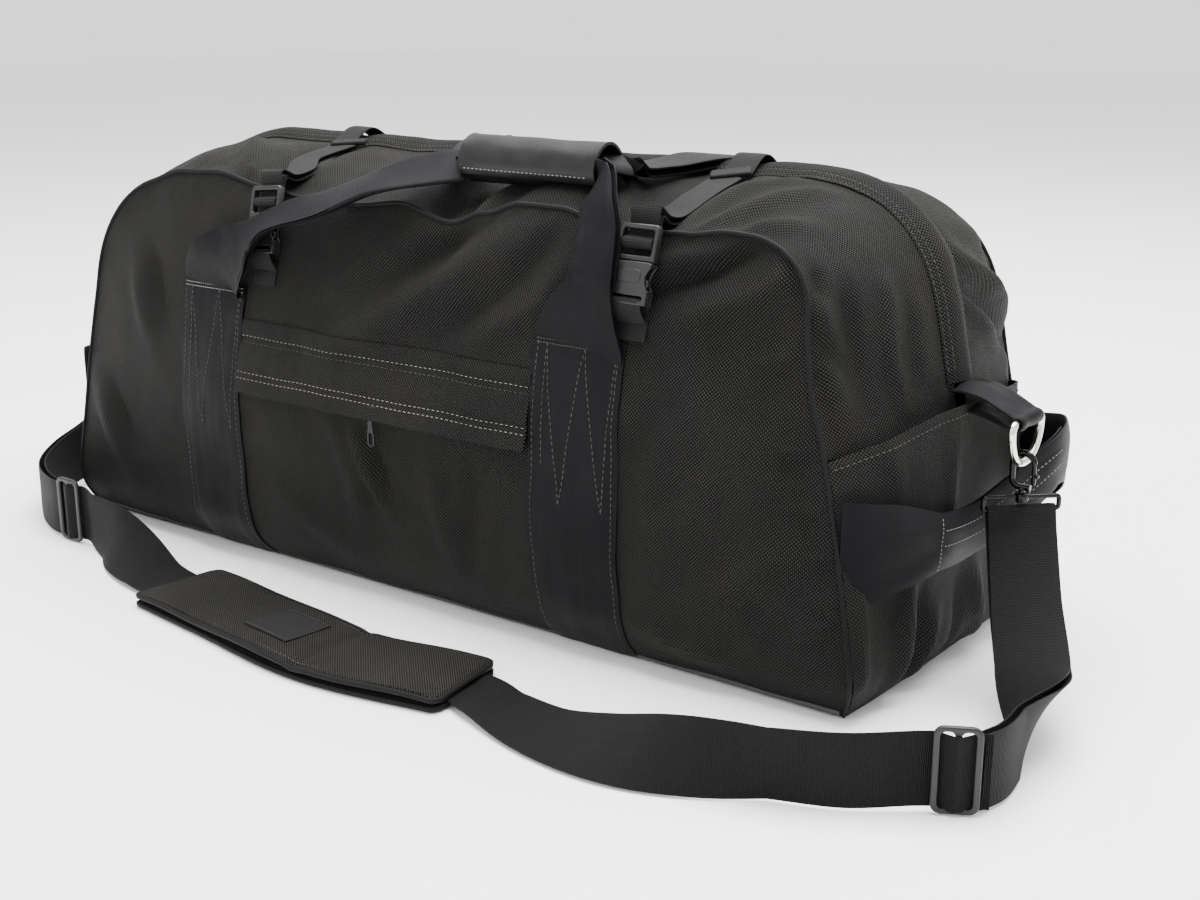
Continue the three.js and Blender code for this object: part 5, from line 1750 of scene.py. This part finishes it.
def build_main_slider():
    """Small enough to run under the storm flap from end to end of its travel."""
    x = mid("main_slider", 0)
    zip_z = low("main_slider", 2) + 2.6
    slider = Plate((x, 0, zip_z), (1, 0, 0), (0, 0, 1), (0, 1, 0))
    slider.add([rounded(17, 12, 4)], 1.8, 1.4, bevel=0.7)
    slider.add([rounded(17, 12, 4)], 1.6, -1.6, bevel=0.6)
    slider.add([rounded(7, 2.6, 1.2)], 1.4, 2.8, bevel=0.5)
    slider.finish("main_slider_body", BLACK_METAL, "main_slider", "black_metal", "main_slider")
    pull = Plate((x + 9, 0, zip_z + 3.4), (1, 0, 0), (0, 0, 1), (0, 1, 0))
    pull.add([rounded(24, 7, 3), rounded(9, 3.4, 1.6, 5)], 1.1, bevel=0.4)
    pull.finish("main_pull_tab", BLACK_METAL, "main_pull", "black_metal", "main_pull")


build_pocket_slider()
build_main_slider()


# ---------- shoulder strap ----------

STRAP = 50                                    # width of the shoulder webbing
STRAP_THICK = 1.8
PAD_WIDE = 82                                 # width of the shoulder pad


def hairpin(stops, wire_gap=2.9, half=2.5, step=3.0):
    """Stations of webbing that comes up a route, turns round the wire at its start and goes back.
    half is how far each layer lies from the route; wire_gap is the same at the wire."""
    line = Line(stops, step)
    share = np.minimum(line.run / line.length * 4, 1)
    offset = (wire_gap + (half - wire_gap) * share)[:, None]
    up = normalize(line.centre[0] - line.centre[1])
    bow_normals = [line.normal[0] * math.cos(a) + up * math.sin(a)
                   for a in np.linspace(0, math.pi, 12)[1:-1]]
    bow = [line.centre[0] + wire_gap * normal for normal in bow_normals]
    out = (line.centre + line.normal * offset)[::-1]
    back = line.centre - line.normal * offset
    line.centre = np.concatenate([out, bow, back])
    line.normal = np.concatenate([line.normal[::-1], bow_normals, -line.normal])
    line.across = np.concatenate([line.across[::-1], [line.across[0]] * len(bow), line.across])
    line.width = np.full(len(line.centre), float(STRAP))
    line.run = run_along(line.centre)
    return line


def build_strap_end(word, stops):
    line = hairpin(stops)

    def curve(i, a):
        return a * STRAP / 2, 0.35 * noise.noise(Vector((line.run[i] / 50, a * 0.8, 4)))

    piece = band(f"strap_end_{word}_webbing", line, STRAP_THICK, STRAP_WEB, curve, points_across=11)
    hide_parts(f"strap_end_{word}")
    top, lower = direction(*stops[0][:3]), direction(*stops[2][:3])
    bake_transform(piece)


def right_end():
    """The stops of the doubled webbing from the right wire loop down to its slide buckle."""
    x, z = RING[0], LOOP_LOW
    across = tuple(LOOP_ACROSS)
    return [(x, 0, z, across, STRAP), (x + 2.8, -2.9, z - 14, across, STRAP),
            (486, -34, 72, across, STRAP), (512, -78, 42, (0.65, 0.7, 0.3), STRAP),
            (530, -116, 31, (0.4, 0.4, 0.8), STRAP), (538, -160, 27.5, (0, 0.1, 1), STRAP),
            (540, -190, 27, (0, 0, 1), STRAP), (535, -211, 27.5, (0, 0, 1), STRAP)]


def left_end():
    """The same for the left end, which lies behind the bag's corner in the photo."""
    x, z = -RING[0], LOOP_LOW
    across = tuple(LOOP_ACROSS * (1, -1, 1))
    return [(x, 0, z, across, STRAP), (x - 2.8, -2.9, z - 14, across, STRAP),
            (-480, -36, 72, (0.6, -0.7, -0.4), STRAP), (-480, -84, 42, (0.3, -0.3, -0.9), STRAP),
            (-462, -146, 30, (0, 0.1, -1), STRAP), (-420, -196, 27, (0, 0, -1), STRAP),
            (-368, -221, 27, (0, 0, -1), STRAP), (-349, -223.5, 27.5, (0, 0, -1), STRAP)]


BUCKLE_AT = {word: centre_of(f"slide_buckle_{word}") for _, word in ENDS}
BUCKLE_WAY = {word: joint_axis(f"slide_buckle_travel_{word}") for _, word in ENDS}


def buckle_front(word):
    """The way a slide buckle's face looks, away from the bag."""
    front = np.cross((0, 0, 1), BUCKLE_WAY[word])
    return front * -np.sign(front[1])


def strap_route():
    """From the right slide buckle, along the floor through the pad, to the left one."""
    upright = (0, 0, 1)

    def woven(word, front, way):
        """Behind the side bars of a slide buckle and over its centre bar."""
        spots = ((-21, -3.6), (-13, -3.8), (-6.4, 0.2), (0, 3.4), (6.4, 0.2), (13, -3.8),
                 (22, -3.0))
        return [(*(BUCKLE_AT[word] + BUCKLE_WAY[word] * s * way + front * n + (0, 0, -1.6)),
                 upright, STRAP) for s, n in spots]

    between = [
        (470, -256, 26.5, upright, STRAP), (424, -277, 26, (0, -0.1, 1), STRAP),
        (376, -295, 24, (0, 0.4, 0.9), STRAP), (322, -302, 17, (0, 0.8, 0.6), STRAP),
        (262, -294, 9, (0.1, 1, 0.25), STRAP), (205, -276, 5.8, (0.15, 1, 0), STRAP),
        (171, -266, 5.4, (0.15, 1, 0), STRAP), (56, -284, 5.4, (0.05, 1, 0), STRAP),
        (-60, -270, 5.4, (-0.1, 1, 0), STRAP), (-153, -258, 5.4, (-0.1, 1, 0), STRAP),
        (-192, -252, 6.6, (-0.05, 1, 0.1), STRAP), (-232, -244, 16, (0, 0.8, 0.6), STRAP),
        (-268, -236, 24, (0, 0.3, 0.95), STRAP), (-300, -230, 26.5, upright, STRAP)]
    return (woven("right", buckle_front("right"), 1) + between
            + woven("left", direction(0, -1, 0), -1)[::-1])


def build_shoulder_strap():
    """The webbing that lies on the floor, slightly cupped, and the line it follows."""
    line = Line(strap_route(), step=4)

    def curve(i, a):
        wave = 0.9 * noise.noise(Vector((line.run[i] / 60, a * 0.7, 8)))
        cup = 0.8 * (1 - a * a)
        return a * STRAP / 2, wave + cup

    piece = band("shoulder_strap_webbing", line, STRAP_THICK, STRAP_WEB, curve, points_across=13)
    place(piece, "bag", "coarse_webbing", "shoulder_strap")
    return piece, line


def build_slide_buckle(word):
    """A frame with two windows and a round bar between them."""
    plate = Plate(BUCKLE_AT[word], BUCKLE_WAY[word], buckle_front(word), (0, 0, 1))
    windows = [rounded(8.6, 51, 3.4, x, 0) for x in (-6.3, 6.3)]
    plate.add([rounded(30, 58, 6.5), *windows], 3.8, bevel=1.3)
    plate.add([rounded(4.2, 52, 2)], 4.2, bevel=1.5)
    return plate.finish(f"slide_buckle_{word}_frame", PLASTIC, f"slide_buckle_{word}",
                        "black_plastic", f"slide_buckle_{word}")


def pad_line(z):
    """The pad's middle line at height z, along the strap."""
    stops = [(171, -266, z, (0.15, 1, 0), PAD_WIDE), (56, -284, z, (0.05, 1, 0), PAD_WIDE),
             (-60, -270, z, (-0.1, 1, 0), PAD_WIDE), (-153, -258, z, (-0.1, 1, 0), PAD_WIDE)]
    return Line(stops, step=3)


def pad_slab(line, thickness, shrink=1.5, rounding=7):
    """A closed thin box that follows the pad's line, with rounded corners: points, faces and the
    middle line of its rim."""
    across = 26
    top, bottom = [], []
    for i, run in enumerate(line.run):
        reach = min(run, line.length - run)
        cut = rounding - math.sqrt(max(rounding ** 2 - max(rounding - reach, 0) ** 2, 0))
        half = PAD_WIDE / 2 - shrink - cut
        for a in np.linspace(-1, 1, across + 1):
            spot = line.centre[i] + line.across[i] * a * half
            top.append(spot + (0, 0, thickness / 2))
            bottom.append(spot - (0, 0, thickness / 2))
    points = np.array(top + bottom)
    faces, ids = slab_faces(len(line.run), across + 1)
    edge = np.array([(points[a] + points[a + len(top)]) / 2 for a in ids])
    return points, orient(points, faces), edge


def inflate(piece, pressure, frames, cap):
    """Blows a closed cloth mesh up a little with the cloth solver; no point moves over cap mm."""
    rest = np.array([v.co for v in piece.data.vertices], float)
    modifier = piece.modifiers.new("cloth", "CLOTH")
    settings = modifier.settings
    settings.quality = 6
    settings.mass = 0.2
    settings.use_pressure = True
    settings.uniform_pressure_force = pressure
    settings.tension_stiffness = 12
    settings.compression_stiffness = 12
    settings.shear_stiffness = 6
    settings.bending_stiffness = 0.3
    settings.effector_weights.gravity = 0
    modifier.point_cache.frame_start = 1
    modifier.point_cache.frame_end = frames
    scene = bpy.context.scene
    for number in range(1, frames + 1):
        scene.frame_set(number)
    puffed = piece.evaluated_get(bpy.context.evaluated_depsgraph_get()).to_mesh()
    moved = np.array([v.co for v in puffed.vertices], float)
    piece.evaluated_get(bpy.context.evaluated_depsgraph_get()).to_mesh_clear()
    piece.modifiers.remove(modifier)
    scene.frame_set(1)
    shift = moved - rest
    size = np.linalg.norm(shift, axis=1, keepdims=True)
    rest += shift * np.minimum(1, cap * MM / np.maximum(size, 1e-9))
    piece.data.vertices.foreach_set("co", rest.ravel())
    piece.data.update()


def build_pad():
    """Two padded layers with bound edges, the strap lying between them."""
    layers = []
    for word, z in (("lower", 2.6), ("upper", 8.9)):
        line = pad_line(z)
        if word == "upper":
            # It arches, and is creased a third of the way along, where the strap bends.
            crease = np.exp(-((line.run - 118) / 7) ** 2)
            line.centre[:, 2] += (2.2 * np.sin(line.run / line.length * math.pi)
                                  + 0.9 * np.sin(line.run / 21) - 1.6 * crease)
        points, faces, edge = pad_slab(line, 3.0)
        piece = make_object(f"shoulder_pad_{word}_cushion", points, faces, PAD_NYLON,
                            points.copy(), 0)
        inflate(piece, 2.5 if word == "upper" else 1.0, 16, 2.2 if word == "upper" else 0.6)
        piece.data.shade_smooth()
        place(piece, "pad", "nylon", f"shoulder_pad_{word}")
        binding = tube(f"shoulder_pad_{word}_binding", edge, 2.2, BINDING, 10, closed=True)
        place(binding, "pad", "nylon")
        layers += [piece, binding]
        if word == "upper":
            layers += build_pad_trim(line)
    return layers


def build_pad_trim(line):
    """Rows of stitches beside the strap and a plain sewn label."""
    rows = Stitches("shoulder_pad_stitches", DARK_THREAD, "pad")
    for a in (-0.9, 0.9):
        path = line.centre[4:-4] + line.across[4:-4] * a * (PAD_WIDE / 2 - 3) + (0, 0, 2.6)
        rows.row(path, [(0, 0, 1)] * len(path), radius=0.4)
    middle = int(len(line.run) * 0.52)
    label_line = Line([(*(line.centre[k] + (0, 0, 4.6)), tuple(line.across[k]), 42)
                       for k in (middle - 9, middle - 3, middle + 3, middle + 9)], step=3)
    label = band("shoulder_pad_label", label_line, 1.0, ZIP_TAPE,
                 lambda i, a: (a * 21, 0.6 * (1 - a * a)))
    place(label, "pad", "nylon")
    for a in (-0.93, 0.93):
        path = label_line.centre + label_line.across * a * 21 + (0, 0, 0.8)
        rows.row(path, [(0, 0, 1)] * len(path), length=2, space=0.8, radius=0.35)
    return [label, rows.finish("nylon")]


build_strap_end("right", right_end())
build_strap_end("left", left_end())
strap_piece, strap_line = build_shoulder_strap()
on_strap = [build_slide_buckle("right"), build_slide_buckle("left"), *build_pad()]
[tuple(p * MM) for p in strap_line.centre]

pale.finish()
dark.finish()


# ---------- floor and light ----------

def make_stage():
    """A pale floor, even light from all round and three soft lamps."""
    floor_material = Nodes("floor", Roughness=0.6)
    speckle = floor_material.noise(3, 3, 0.5)
    tone = floor_material.ramp(speckle, (0.3, (0.93, 0.93, 0.925)), (0.7, (0.95, 0.95, 0.945)))
    floor_material.finish(tone)
    mesh = bpy.data.meshes.new("floor")
    half, level = 8, -0.0005
    corners = ((-half, -half), (half, -half), (half, half), (-half, half))
    mesh.from_pydata([(x, y, level) for x, y in corners], [], [(0, 1, 2, 3)])
    mesh.materials.append(floor_material.material)
    floor = bpy.data.objects.new("floor", mesh)
    bpy.context.scene.collection.objects.link(floor)
    world = bpy.data.worlds.new("studio")
    bpy.context.scene.world = world
    world.use_nodes = True
    world.node_tree.nodes["Background"].inputs[0].default_value = (1, 1, 1, 1)
    world.node_tree.nodes["Background"].inputs[1].default_value = 1.55
    for name, place_at, look_at, size, power in (
            ("top_light", (0.1, 0.35, 2.4), (0, 0, 0.1), 2.4, 290),
            ("front_light", (-0.3, -2.2, 1.2), (0.1, 0, 0.2), 1.6, 24),
            ("right_light", (2.2, -0.6, 1.1), (0.2, 0, 0.2), 1.4, 8)):
        data = bpy.data.lights.new(name, "AREA")
        data.size = size
        data.energy = power
        light = bpy.data.objects.new(name, data)
        light.location = place_at
        aim = Vector(look_at) - Vector(place_at)
        light.rotation_euler = aim.to_track_quat("-Z", "Y").to_euler()
        bpy.context.scene.collection.objects.link(light)


make_stage()
